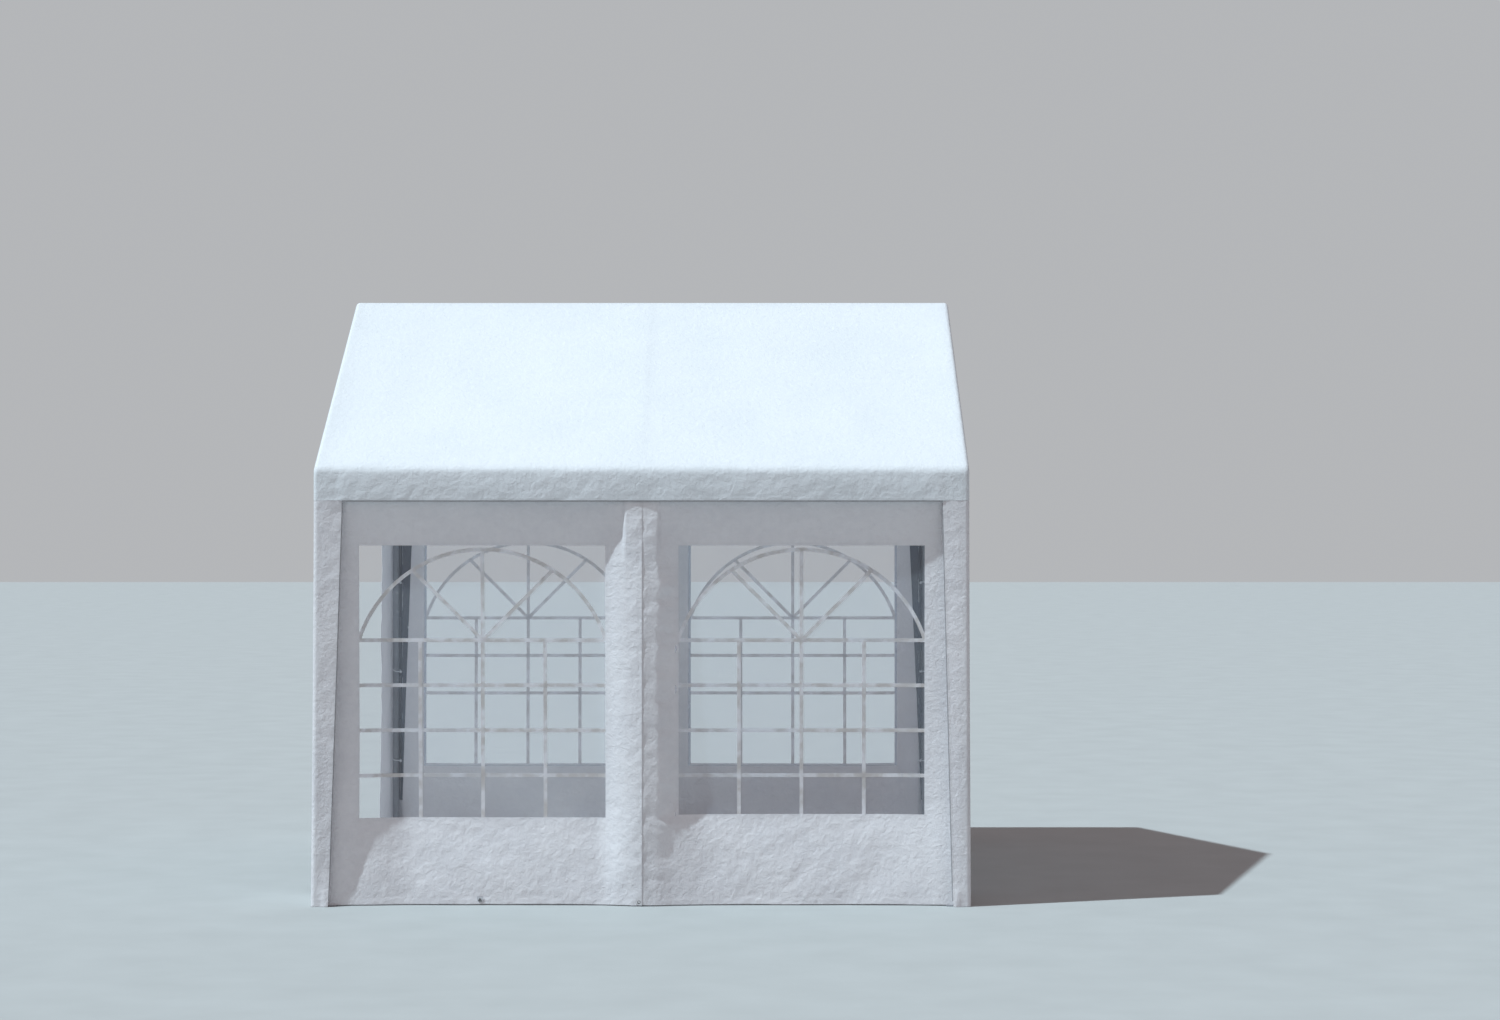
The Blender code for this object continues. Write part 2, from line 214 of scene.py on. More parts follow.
class Surface:
    """A procedural material with its main shader, and short ways to add nodes to it."""

    def __init__(self, name):
        self.material = bpy.data.materials.new(name)
        self.material.use_nodes = True
        self.nodes = self.material.node_tree.nodes
        self.link = self.material.node_tree.links.new
        self.shader = self.nodes["Principled BSDF"]

    def add(self, kind, **settings):
        """A new node, with its inputs or its properties set by name."""
        node = self.nodes.new("ShaderNode" + kind)
        for key, value in settings.items():
            if key in node.inputs:
                node.inputs[key].default_value = value
            else:
                setattr(node, key, value)
        return node

    def put(self, value, socket):
        """Gives an input a number, or links another node's output to it."""
        if isinstance(value, (int, float)):
            socket.default_value = value
        else:
            self.link(value, socket)

    def feed(self, name, value):
        """Gives an input of the main shader a number, or links an output to it."""
        self.put(value, self.shader.inputs[name])

    def on_tent(self):
        """The coordinates of a point in the tent's frame."""
        return self.add("TexCoord").outputs["Object"]

    def on_cloth(self):
        """The coordinates of a point on the flat cloth, together and as two numbers."""
        place = self.add("UVMap", uv_map="cut").outputs["UV"]
        split = self.add("SeparateXYZ")
        self.link(place, split.inputs[0])
        return place, split.outputs[0], split.outputs[1]

    def calculate(self, operation, *values):
        """A math node on one or two values, each a number or an output."""
        node = self.add("Math", operation=operation)
        for value, socket in zip(values, node.inputs):
            self.put(value, socket)
        return node.outputs[0]

    def noise(self, place, scale, detail=3.0, roughness=0.5, distortion=0.0):
        """A noise texture on a set of coordinates."""
        node = self.add("TexNoise", Scale=scale, Detail=detail, Roughness=roughness, Distortion=distortion)
        self.link(place, node.inputs["Vector"])
        return node.outputs["Fac"]

    def between(self, factor, low, high, start=0.3, end=0.7):
        """Two colours mixed by a factor that runs from start to end."""
        node = self.add("ValToRGB")
        for stop, at, colour in zip(node.color_ramp.elements, (start, end), (low, high)):
            stop.position = at
            stop.color = (*colour, 1)
        self.link(factor, node.inputs["Fac"])
        return node.outputs["Color"]

    def raised(self, height, distance, normal=None):
        """A bump of a real height, on top of another one if that is given."""
        node = self.add("Bump", Strength=1.0, Distance=distance)
        self.link(height, node.inputs["Height"])
        if normal is not None:
            self.link(normal, node.inputs["Normal"])
        return node.outputs["Normal"]

    def let_through(self, colour, share, normal=None):
        """Makes a share of the surface pass light, in the same colour."""
        through = self.add("BsdfTranslucent")
        self.link(colour, through.inputs["Color"])
        if normal is not None:
            self.link(normal, through.inputs["Normal"])
        mixed = self.add("MixShader", Fac=share)
        self.link(self.shader.outputs[0], mixed.inputs[1])
        self.link(through.outputs[0], mixed.inputs[2])
        self.link(mixed.outputs[0], self.nodes["Material Output"].inputs["Surface"])


def sheeting(name, low, high, see_through, crinkle=1.0, gloss=0.35, roughness=0.46):
    """Coated woven sheeting: flat tapes under a satin coat, finely crinkled, passing a little light."""
    made = Surface(name)
    place, *axes = made.on_cloth()
    phases = [made.calculate("MULTIPLY", axis, math.tau / TAPE_PAIR) for axis in axes]
    weave = made.calculate("MULTIPLY", *(made.calculate("SINE", phase) for phase in phases))
    blotch = made.noise(place, 30.0, 4.0, 0.6)
    both = made.calculate("ADD", made.noise(place, 2.6), made.calculate("MULTIPLY", blotch, 0.7))
    colour = made.between(both, low, high, 0.6, 1.1)
    made.feed("Base Color", colour)
    rough = made.add("MapRange", **{"To Min": roughness - 0.06, "To Max": roughness + 0.12})
    made.link(blotch, rough.inputs["Value"])
    made.feed("Roughness", rough.outputs["Result"])
    made.feed("Specular IOR Level", gloss)
    crinkled = made.raised(made.noise(place, 55.0, 5.0, 0.62, 0.4), 0.0028 * crinkle)
    crinkled = made.raised(made.noise(place, 30.0, 3.0, 0.5, 0.8), 0.0032 * crinkle, crinkled)
    made.feed("Normal", made.raised(weave, 0.00007, crinkled))
    made.let_through(colour, see_through, crinkled)
    return made.material


def film_material():
    """Clear film, a little clouded, with soft ripples, and whiter where it is welded to the cloth."""
    made = Surface("clear_film")
    place, *axes = made.on_cloth()
    cloud = made.noise(place, 9.0)
    made.feed("Base Color", made.between(cloud, (0.72, 0.8, 0.93), (0.8, 0.87, 0.96)))
    made.feed("Roughness", 0.12)
    made.feed("IOR", 1.5)
    clear = 1.0
    for axis, (middle, half) in zip(axes, FILM_CLEAR):
        off = made.calculate("ABSOLUTE", made.calculate("SUBTRACT", axis, middle))
        clear = made.calculate("MULTIPLY", made.calculate("LESS_THAN", off, half), clear)
    made.feed("Alpha", made.calculate("SUBTRACT", 0.3, made.calculate("MULTIPLY", clear, 0.21)))
    made.feed("Normal", made.raised(made.noise(place, 3.5, 2.0, 0.4, 0.6), 0.004))
    return made.material


def bar_material():
    """The bars printed on the film: a pale warm grey, nearly opaque, lighter in random patches."""
    made = Surface("printed_bars")
    place = made.on_tent()
    patches = made.noise(place, 14.0, 4.0, 0.65)
    colour = made.between(patches, (0.8, 0.78, 0.77), (0.96, 0.96, 0.98), 0.42, 0.6)
    made.feed("Base Color", colour)
    made.feed("Roughness", 0.5)
    made.feed("Alpha", 0.8)
    made.feed("Normal", made.raised(made.noise(place, 160.0), 0.0003))
    made.let_through(colour, 0.48)
    return made.material


def steel_material():
    """Grey powder coat with a faint orange peel, and scuffs that show lighter. The grey is partly the coat's
    own and partly painted shade, kept dark so the legs look as dim as the shaded inside.
    """
    made = Surface("powder_coated_steel")
    place = made.on_tent()
    scuffs = made.noise(place, 38.0, 6.0, 0.7, 0.3)
    made.feed("Base Color", made.between(scuffs, (0.34, 0.35, 0.37), (0.22, 0.23, 0.25), 0.3, 0.46))
    made.feed("Roughness", made.between(scuffs, (0.5,) * 3, (0.32,) * 3, 0.3, 0.5))
    made.feed("Specular IOR Level", 0.5)
    made.feed("Normal", made.raised(made.noise(place, 420.0, 2.0), 0.00012))
    return made.material


def small_material(name, low, high, roughness, metal=False):
    """Plated metal, lightly brushed and tarnished, or else moulded plastic, cord or tape with a grain."""
    made = Surface(name)
    place = made.on_tent()
    grain = made.noise(place, 90.0, 5.0, 0.6) if metal else made.noise(place, 260.0)
    relief = made.noise(place, 600.0, 2.0) if metal else grain
    made.feed("Base Color", made.between(grain, low, high))
    made.feed("Metallic", 0.9 if metal else 0.0)
    made.feed("Roughness", roughness)
    made.feed("Normal", made.raised(relief, 0.00008 if metal else 0.0001))
    return made.material


roof_cloth = sheeting(
    "roof_sheeting", (0.87, 0.9, 0.92), (0.9, 0.925, 0.945), 0.35, crinkle=0.9, gloss=0.2, roughness=0.55
)
wall_cloth = sheeting("wall_sheeting", (0.85, 0.846, 0.87), (0.92, 0.914, 0.93), 0.34)
# Painted shade: a near-black band for the shade on the walls' backs where the corner strips lap over them
painted_shade_cloth = sheeting("painted_shade_band", (0.03, 0.036, 0.052), (0.042, 0.05, 0.07), 0.02, crinkle=0.5)
clear_film = film_material()
printed_bars = bar_material()
powder_coat = steel_material()
plated = small_material("plated_metal", (0.42, 0.42, 0.43), (0.6, 0.6, 0.6), 0.34, metal=True)
dark_metal = small_material("dark_metal", (0.06, 0.07, 0.065), (0.13, 0.14, 0.13), 0.45, metal=True)
white_cord = small_material("white_cord", (0.62, 0.63, 0.66), (0.8, 0.81, 0.83), 0.55)
grey_webbing = small_material("grey_webbing", (0.5, 0.51, 0.54), (0.62, 0.63, 0.66), 0.7)
# Painted shade: dark tape for the shadow lines under the valances and beside the corner strips
shade_line_tape = small_material("shade_line_tape", (0.3, 0.3, 0.32), (0.4, 0.4, 0.42), 0.8)
zip_coil = small_material("zip_coil", (0.55, 0.56, 0.58), (0.74, 0.75, 0.77), 0.4)


# Meshes


def add_piece(name, mesh, surface):
    """A new object with a mesh and a material, in the scene."""
    made = bpy.data.objects.new(name, mesh)
    mesh.materials.append(surface)
    bpy.context.scene.collection.objects.link(made)
    return made


def settle(piece):
    """Keeps what the modifiers make as the piece's own mesh, smooth except at its sharp edges."""
    bpy.context.view_layer.update()
    graph = bpy.context.evaluated_depsgraph_get()
    mesh = bpy.data.meshes.new_from_object(piece.evaluated_get(graph))
    piece.modifiers.clear()
    piece.data = mesh
    mesh.shade_smooth()
    mesh.set_sharp_from_angle(angle=CLOTH_SHARP)
    return piece


def cloth(name, points, surface, outward, cut, keep=None, thickness=CLOTH):
    """A closed sheet on a grid of points. Its thickness lies behind the side that faces outward.

    cut holds two grids, of each point's place on the flat cloth, and keep says which cells are there.
    """
    rows, columns = points.shape[:2]
    index = np.arange(rows * columns).reshape(rows, columns)
    cells = np.stack([index[:-1, :-1], index[:-1, 1:], index[1:, 1:], index[1:, :-1]], axis=-1)
    faces = cells.reshape(-1, 4) if keep is None else cells[keep]
    used, faces = np.unique(faces, return_inverse=True)
    faces = faces.reshape(-1, 4)
    spots = points.reshape(-1, 3)[used]
    sides = np.cross(spots[faces[:, 2]] - spots[faces[:, 0]], spots[faces[:, 3]] - spots[faces[:, 1]])
    if float((sides @ np.array(outward, float)).sum()) < 0:
        faces = faces[:, ::-1]
    mesh = bpy.data.meshes.new(name)
    mesh.from_pydata(spots.tolist(), [], faces.tolist())
    layer = mesh.uv_layers.new(name="cut")
    flat = np.stack(cut, axis=-1).reshape(-1, 2)[used][faces.ravel()]
    layer.data.foreach_set("uv", flat.ravel().astype(np.float32))
    piece = add_piece(name, mesh, surface)
    thick = piece.modifiers.new("thickness", "SOLIDIFY")
    thick.thickness = thickness
    thick.offset = -1
    return settle(piece)


def join(name, forms, surface):
    """One piece from several bmeshes."""
    whole = bmesh.new()
    for form in forms:
        part = bpy.data.meshes.new("part")
        form.to_mesh(part)
        form.free()
        whole.from_mesh(part)
        bpy.data.meshes.remove(part)
    bmesh.ops.recalc_face_normals(whole, faces=whole.faces)
    mesh = bpy.data.meshes.new(name)
    whole.to_mesh(mesh)
    whole.free()
    mesh.shade_smooth()
    mesh.set_sharp_from_angle(angle=SOLID_SHARP)
    return add_piece(name, mesh, surface)


def loft(rings, closed=False):
    """A solid through rings of points: joined end to end if closed, and else capped."""
    form = bmesh.new()
    made = [[form.verts.new(point) for point in ring] for ring in rings]
    for first, second in zip(made, made[1:] + made[:1] if closed else made[1:]):
        for k in range(len(first)):
            after = (k + 1) % len(first)
            form.faces.new((first[k], first[after], second[after], second[k]))
    if not closed:
        form.faces.new(made[0][::-1])
        form.faces.new(made[-1])
    return form


def around(count):
    """So many angles, evenly round a turn."""
    return [math.tau * k / count for k in range(count)]


def tube_along(path, radius, closed=False):
    """A round bar along a path of points, capped unless it is closed."""
    path = [Vector(point) for point in path]
    count = len(path)
    rings = []
    guide = Vector((0.31, 0.17, 0.93)).normalized()
    for number, point in enumerate(path):
        before = path[(number - 1) % count] if closed or number else path[0]
        after = path[(number + 1) % count] if closed or number < count - 1 else path[-1]
        tangent = (after - before).normalized()
        guide = (guide - tangent * guide.dot(tangent)).normalized()
        up = tangent.cross(guide)
        size = radius[number] if hasattr(radius, "__len__") else radius
        rings.append([point + (guide * math.cos(a) + up * math.sin(a)) * size for a in around(8)])
    return loft(rings, closed)


def turned(section, place, sides=20):
    """A solid turned about local +Z from a section of (radius, height) points, put in place."""
    form = bmesh.new()
    rings = []
    for radius, height in section:
        angles = around(sides) if radius > 1e-6 else [0.0]
        ring = [form.verts.new((radius * math.cos(a), radius * math.sin(a), height)) for a in angles]
        rings.append(ring)
    for first, second in zip(rings, rings[1:]):
        for k in range(sides):
            after = (k + 1) % sides
            corners = [first[k % len(first)], first[after % len(first)]]
            corners += [second[after % len(second)], second[k % len(second)]]
            form.faces.new(list(dict.fromkeys(corners)))
    bmesh.ops.transform(form, matrix=place, verts=form.verts)
    return form


def facing(point, direction):
    """A placement at a point with local +Z along a direction."""
    turn = Vector(direction).to_track_quat("Z", "Y").to_matrix().to_4x4()
    return Matrix.Translation(Vector(point)) @ turn


def finish_piece(piece, slot, *nodes):
    """Rides the piece on the tent's one body, and hides the solids it stands for. The slot is not used."""
    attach(piece, "root")
    if nodes:
        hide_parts(*nodes)
    return piece


# Roof cover


def rounded_profile():
    """Samples of the roof's outline from the front valance's hem over the ridge to the back one's.

    Each is the side of the outline it lies on, how far along that side, how far off the side its
    rounded corner takes it, and the length of cloth up to it.
    """
    corners = profile_corners(0)
    radii = [0, EAVE_ROUND, RIDGE_ROUND, EAVE_ROUND, 0]
    cells = [15, 58, 58, 15]
    samples = []
    for side in range(4):
        long = np.linalg.norm(corners[side + 1] - corners[side])
        cut = [radii[number] * corner_tangent(corners, number) for number in (side, side + 1)]
        stops = list(np.linspace(cut[0], long - cut[1], cells[side] + 1))
        if side in (0, 3):
            edge = HEM / 2 if side == 0 else long - HEM / 2
            stops = sorted(stops + [abs(edge - HEM / 2 + 0.0001), edge])
        if side:
            samples += arc_half(corners, side, radii[side], first=False)
        for place in stops:
            samples.append((side, place / long, np.zeros(2)))
        if side < 3:
            samples += arc_half(corners, side + 1, radii[side + 1], first=True)
    return samples


def inside_edge(x):
    """1 over the roof, and 0 where it turns down at the gables."""
    return fade(np.abs(x), HALF_LENGTH - 0.05, HALF_LENGTH - 0.02)


def profile_corners(depth):
    """The corners of the roof's outline in Y and Z, that depth inside it."""
    half = HALF_WIDTH - depth
    top = RIDGE - depth / math.cos(SLOPE)
    shoulder = top - half * math.tan(SLOPE)
    front = [(-half, VALANCE_BOTTOM), (-half, shoulder), (0, top)]
    return [np.array(corner) for corner in front + [(half, shoulder), (half, VALANCE_BOTTOM)]]


def corner_ways(corners, number):
    """The directions into a corner and out of it, and the angle between them."""
    ways = (corners[number] - corners[number - 1], corners[number + 1] - corners[number])
    before, after = (way / np.linalg.norm(way) for way in ways)
    return before, after, math.acos(before @ after)


def corner_tangent(corners, number):
    """How far back from a corner a rounding of radius 1 starts, or 0 at the hems."""
    if number in (0, len(corners) - 1):
        return 0
    return math.tan(corner_ways(corners, number)[2] / 2)


def arc_half(corners, number, radius, first):
    """The samples on one half of a rounded corner: the half before it, or the half after it."""
    corner = corners[number]
    before, after, turn = corner_ways(corners, number)
    start = corner - before * radius * math.tan(turn / 2)
    inward = np.array([before[1], -before[0]])
    centre = start + inward * radius
    half = 4
    samples = []
    steps = range(1, half + 1) if first else range(half + 1, 2 * half)
    for step in steps:
        angle = turn * step / (2 * half)
        point = centre - inward * radius * math.cos(angle) + before * radius * math.sin(angle)
        side = number - 1 if first else number
        origin, way = (corners[side], before) if first else (corner, after)
        along = (point - origin) @ way
        long = np.linalg.norm(corners[side + 1] - corners[side])
        samples.append((side, along / long, point - origin - way * along))
    return samples


# How far the valance stands out of its plane, by how far it is below the eave
VALANCE_FALLS = [0.0, 0.02, 0.027, 0.0366, 0.055, 0.073, 0.091, 0.11, 0.123, 0.134, 0.148]
VALANCE_BOWS = [0.0, 0.0014, 0.0019, 0.0025, 0.0034, 0.004, 0.0042, 0.0038, 0.0032, 0.0025, 0.0014]


def roof_cover():
    """The roof cover as one sheet: two slopes, valances, and a hem folded round each gable."""
    samples = rounded_profile()
    turns = np.linspace(0, math.pi / 2, 8)
    bend = [(EDGE_ROUND * math.sin(a), EDGE_ROUND * (1 - math.cos(a))) for a in turns]
    inner = HALF_LENGTH - EDGE_ROUND
    middle = spread((-inner, 83), (0, 83), (inner, 0))
    hems = np.linspace(EDGE_ROUND, GABLE_HEM, 4)[1:]
    across = [(-HALF_LENGTH, depth) for depth in hems[::-1]]
    across += [(-inner - out, depth) for out, depth in bend[:0:-1]]
    across += [(x, 0.0) for x in middle]
    across += [(inner + out, depth) for out, depth in bend[1:]]
    across += [(HALF_LENGTH, depth) for depth in hems]
    points = np.zeros((len(samples), len(across), 3))
    for column, (x, depth) in enumerate(across):
        corners = profile_corners(depth)
        rounding = max(0.0, 1 - depth / GABLE_HEM)
        for row, (side, part, off) in enumerate(samples):
            y, z = corners[side] + (corners[side + 1] - corners[side]) * part + off * rounding
            points[row, column] = (x, y, z)
    sides = np.array([side for side, _, _ in samples])[:, None]
    parts = np.array([part for _, part, _ in samples])[:, None]
    x = points[:, :, 0]
    depths = np.array([depth for _, depth in across])[None, :]
    steps = np.linalg.norm(np.diff(points[:, len(across) // 2], axis=0), axis=1)
    v = np.cumsum(np.r_[0, steps])[:, None] + 0 * x
    u = np.where(depths > 0, np.sign(x) * (HALF_LENGTH - EDGE_ROUND * 0.43 + depths), x)
    on_slope = (sides == 1) | (sides == 2)
    up_slope = np.where(sides == 1, parts, 1 - parts)
    bay = np.clip(np.abs(x) / LEG_X, 0, 1)
    arch = np.sin(np.pi * np.clip(up_slope, 0, 1))
    taut = np.sin(np.pi * bay) ** 1.2 * arch**0.8
    from_end = np.clip(LEG_X - np.abs(x), 0, None)
    dip = 0.0035 * (1 - np.exp(-from_end / 0.045)) * arch**0.4
    level = ramp(HALF_LENGTH - EDGE_ROUND - np.abs(x), -0.02, 0.12) * arch**0.5
    slack = layered(x, v, 3, (0.0016, 88, 0.7, 0.16), (0.0011, 20, 0.5, 0.12)) + 0.0005 * crumple(x, v, 5)
    by_eave = ramp(up_slope, 0.0, 0.004) * fade(up_slope, 0.02, 0.09) * inside_edge(x)
    rolled = by_eave * (0.0012 * crumple(x, v, 41) + 0.0009 * creases(x, v, 90, 0.09, 0.05, 44))
    sink = np.where(on_slope, 0.006 * taut + dip - slack * level + rolled, 0)
    way = np.where(sides == 1, -1, 1)
    points[:, :, 1] -= np.where(on_slope, way * math.sin(SLOPE) * sink, 0)
    points[:, :, 2] -= np.where(on_slope, math.cos(SLOPE) * sink, 0)
    down = np.where(sides == 0, 1 - parts, parts)
    fall = np.where(on_slope, 0, down * VALANCE_DROP)
    free = fade(np.abs(x), VALANCE_FREE - 0.03, VALANCE_FREE)
    hang = ramp(fall, 0.02, 0.148)
    out = free * np.interp(fall, VALANCE_FALLS, VALANCE_BOWS)
    out += free * hang * 0.0022 * creases(x, v, 90, 0.3, 0.13, 7)
    mottle = 0.0022 * crumple(x, v, 11) + 0.0019 * crumple(2.2 * x, 2.2 * v, 31)
    out += inside_edge(x) * ramp(fall, -0.001, 0.02) * mottle
    out += hang * 0.0012 * np.exp(-(((np.abs(x) - 1.372) / 0.008) ** 2))
    seam = VALANCE_DROP - HEM
    out += 0.0008 * free * np.where(on_slope, 0, ramp(fall, seam - 0.0015, seam))
    points[:, :, 1] += np.where(sides == 0, -out, np.where(sides == 3, out, 0))
    piece = cloth("roof_cloth", points, roof_cloth, (0, 0, 1), (u, v))
    finish_piece(piece, "roof_fabric", "roof_cover")
    # Painted shade: dark tapes that show as the shadow line under each valance's hem
    shade_lines = [valance_shade_line(side, points[row]) for side, row in (("front", 0), ("back", -1))]


def shade_line_ribbon(name, points, outward):
    """A slim dark tape behind a cloth's edge, painted shade for the shadow line there, as a closed ribbon on
    a grid of points.
    """
    piece = cloth(name, points, shade_line_tape, outward, (points[:, :, 0], points[:, :, 2]), thickness=TAPE)
    return finish_piece(piece, "wall_fabric")


def valance_shade_line(side, edge):
    """Painted shade: the dark tape that shows as the thin shadow line under a valance's hem."""
    inner = min(top for (name, (top, _)) in STRIP_INNER.items() if name.startswith(side)) - 0.003
    x = np.linspace(-inner, inner, 180)
    y = np.interp(x, edge[:, 0], edge[:, 1]) - SIDES[side] * BEHIND_CLOTH
    levels = [VALANCE_BOTTOM + off for off in (-0.006, -0.002, 0.004, 0.01)]
    points = np.array([np.stack([x, y, np.full_like(x, level)], axis=-1) for level in levels])
    return shade_line_ribbon(f"valance_shade_line_{side}", points, (0, SIDES[side], 0))


def strip_shade_line(place, edge):
    """Painted shade: the dark tape that shows as the thin shadow line along a corner strip's inner edge."""
    side, end = place.split("_")
    rows = edge[(edge[:, 2] > 0.02) & (edge[:, 2] < VALANCE_BOTTOM - 0.007)]
    columns = []
    for over in (0.008, 0.003, -0.001, -0.0045):
        shifted = rows.copy()
        shifted[:, 0] += ENDS[end] * over
        shifted[:, 1] -= SIDES[side] * BEHIND_CLOTH
        columns.append(shifted)
    return shade_line_ribbon(f"strip_shade_line_{place}", np.stack(columns, axis=1), (0, SIDES[side], 0))


# Side walls, with their windows


# How deep the wall hangs in, up its height and out from the middle leg. It is held flat against the leg
# under the connector, and lower down it curves away sooner on one side of the leg than on the other.
DROP_STATIONS = [0.0, 0.08, 0.17, 0.24, 0.31, 0.36, 0.4, 0.45, 0.6, 1.0, 1.4, 1.54, 1.63]
DROP_STATIONS += [1.7, 1.76, 1.81, 1.857, 1.92, 1.965, 2.0]
DROP_DEPTHS = [0.041, 0.0485, 0.06, 0.0705, 0.081, 0.089, 0.095, 0.098, 0.094, 0.081, 0.07, 0.066, 0.061]
DROP_DEPTHS += [0.052, 0.041, 0.031, 0.02, 0.008, 0.0008, 0.0]
REACH_STATIONS = [0.0, 0.02, 0.045, 0.072, 0.079, 0.084, 0.09, 0.102, 0.115, 0.128, 0.14, 0.168, 0.2]
REACH_STATIONS += [0.24, 0.28, 0.32, 0.5, 0.75, 1.1, 1.2, 1.25, 1.298, 1.34, 1.38, 1.41, 1.432, 1.441]
REACH_STATIONS += [1.449, 1.4536, 1.5]
OUTER_REACH = [1.04, 1.06, 1.05, 1.01, 0.95, 0.87, 0.79, 0.72, 0.67, 0.62, 0.36, 0.05, 0.0, 0.0]
FULL_REACH = [1.0, 1.006, 1.012, 1.018] + OUTER_REACH
FOOT_REACH = [0.66, 0.77, 0.86, 0.92] + OUTER_REACH
REACH_BLUR = {"top": 0.003, "tight": 0.009, "loose": 0.009, "foot": 0.04}
REACH_BY_LEG = {
    "top": [0.0, 0.0, 0.02, 0.1, 0.22, 0.44, 0.5, 0.57, 0.63, 0.68, 0.71, 0.82] + FULL_REACH,
    "tight": [0.0, 0.035, 0.08, 0.14, 0.18, 0.22, 0.29, 0.41, 0.53, 0.65, 0.76, 0.92] + FULL_REACH,
    "loose": [0.0, 0.035, 0.11, 0.23, 0.27, 0.3, 0.335, 0.41, 0.5, 0.6, 0.7, 0.89] + FULL_REACH,
    "foot": [0.0, 0.035, 0.1, 0.15, 0.18, 0.21, 0.24, 0.3, 0.37, 0.43, 0.48, 0.56] + FOOT_REACH,
}
BY_LEG = {"front_left": "loose", "front_right": "tight", "back_left": "tight", "back_right": "loose"}
# Near the corner strips the skirt under the windows hangs in less
CORNER_STATIONS = [0.7, 1.06, 1.14, 1.204, 1.256, 1.283, 1.32, 1.361, 1.42]
CORNER_SHARES = [1.0, 1.11, 0.98, 0.82, 0.76, 0.775, 0.8, 0.55, 0.5]


def reach(x, kind):
    """The share of the full depth that the wall has at a distance from the middle."""
    plain = np.interp(x, REACH_STATIONS, REACH_BY_LEG[kind])
    soft = smooth_curve(REACH_STATIONS, REACH_BY_LEG[kind], x, REACH_BLUR[kind])
    return np.where((x > 1.4) | (x < 0.02), plain, soft)


def recess(x, z, place):
    """How far the wall hangs in behind its plane, at a distance from the middle and a height."""
    deep = smooth_curve(DROP_STATIONS, DROP_DEPTHS, z, 0.02)
    high = ramp(z, 1.56, 1.7)
    seed = 40 * PLACES.index(place)
    kind = BY_LEG[place]
    tight = kind == "tight"
    by_leg = fade(x, 0.11, 0.19) * ramp(x, 0.0, 0.03) * (1 if tight else 0.22)
    shift = layered(x, z, seed + 16, (0.011, 4, 0.3, 0.058), (0.005, -12, 0.12, 0.026))
    moved = x + by_leg * shift * (1 - 0.6 * high)
    foot = fade(z, 0.34, 0.5) if tight else 0
    low_share = reach(moved, "foot") * foot + reach(moved, kind) * (1 - foot)
    share = reach(moved, "top") * high + low_share * (1 - high)
    corner = smooth_curve(CORNER_STATIONS, CORNER_SHARES, x, 0.05)
    corner = 1 - (1 - corner) * fade(z, 0.38, 0.85) * (0.35 if tight else 1)
    share = share * corner
    sill = SILLS[place]
    in_window = ramp(x, WINDOW_NEAR - 0.02, WINDOW_NEAR + 0.01)
    in_window = in_window * fade(x, WINDOW_FAR - 0.02, WINDOW_FAR + 0.01)
    in_window = in_window * ramp(z, sill - 0.012, sill + 0.01)
    in_window = in_window * fade(z, WINDOW_HEAD - 0.015, WINDOW_HEAD + 0.01)
    loose = (1 - in_window) * ramp(share, 0.015, 0.3)
    low = fade(z, 0.3, 0.42)
    calm = fade(x, 1.05, 1.27)
    if tight:
        calm = calm * ramp(x, 0.2, 0.4)
    strength = 0.3 + (0.15 + 0.55 * calm) * low + 0.4 * fade(x, 0.1, 0.15) * (1 - low)
    folds = strength * (0.0021 * crumple(x, z, seed + 1) + 0.0019 * crumple(2.1 * x, 2.1 * z, seed + 21))
    folds = folds + calm * low * layered(x, z, seed + 11, (0.003, 28, 0.34, 0.1), (0.005, -20, 0.42, 0.2))
    pucker = 0.001 + layered(x, z, seed + 13, (0.0019, 14, 0.07, 0.034), (0.0013, -30, 0.05, 0.021))
    pucker = pucker * fade(x, 0.03, 0.1) * ramp(x, 0.0, 0.01)
    sway = in_window * 0.0018 * creases(x, z, 80, 0.8, 0.4, seed + 15)
    lap = (0.0002 if place.endswith("left") else -0.0016) * fade(x, 0.003, 0.014)
    return deep * share + loose * folds + pucker + sway - lap


def wall_point(x, z, place, behind=0.0):
    """A place on the wall's outer face, or so far behind it, as a point in the tent's frame."""
    side, end = place.split("_")
    depth = recess(x, z, place)
    step = 0.001
    lean_x = lean_z = 0 * x
    if behind:
        lean_x = (recess(x + step, z, place) - recess(x - step, z, place)) / (2 * step)
        lean_z = (recess(x, z + step, place) - recess(x, z - step, place)) / (2 * step)
    off = behind / np.sqrt(1 + lean_x**2 + lean_z**2)
    spot = [x - lean_x * off, WALL_FACE - depth - off, z - lean_z * off]
    return np.stack([ENDS[end] * spot[0], SIDES[side] * spot[1], spot[2]], axis=-1)


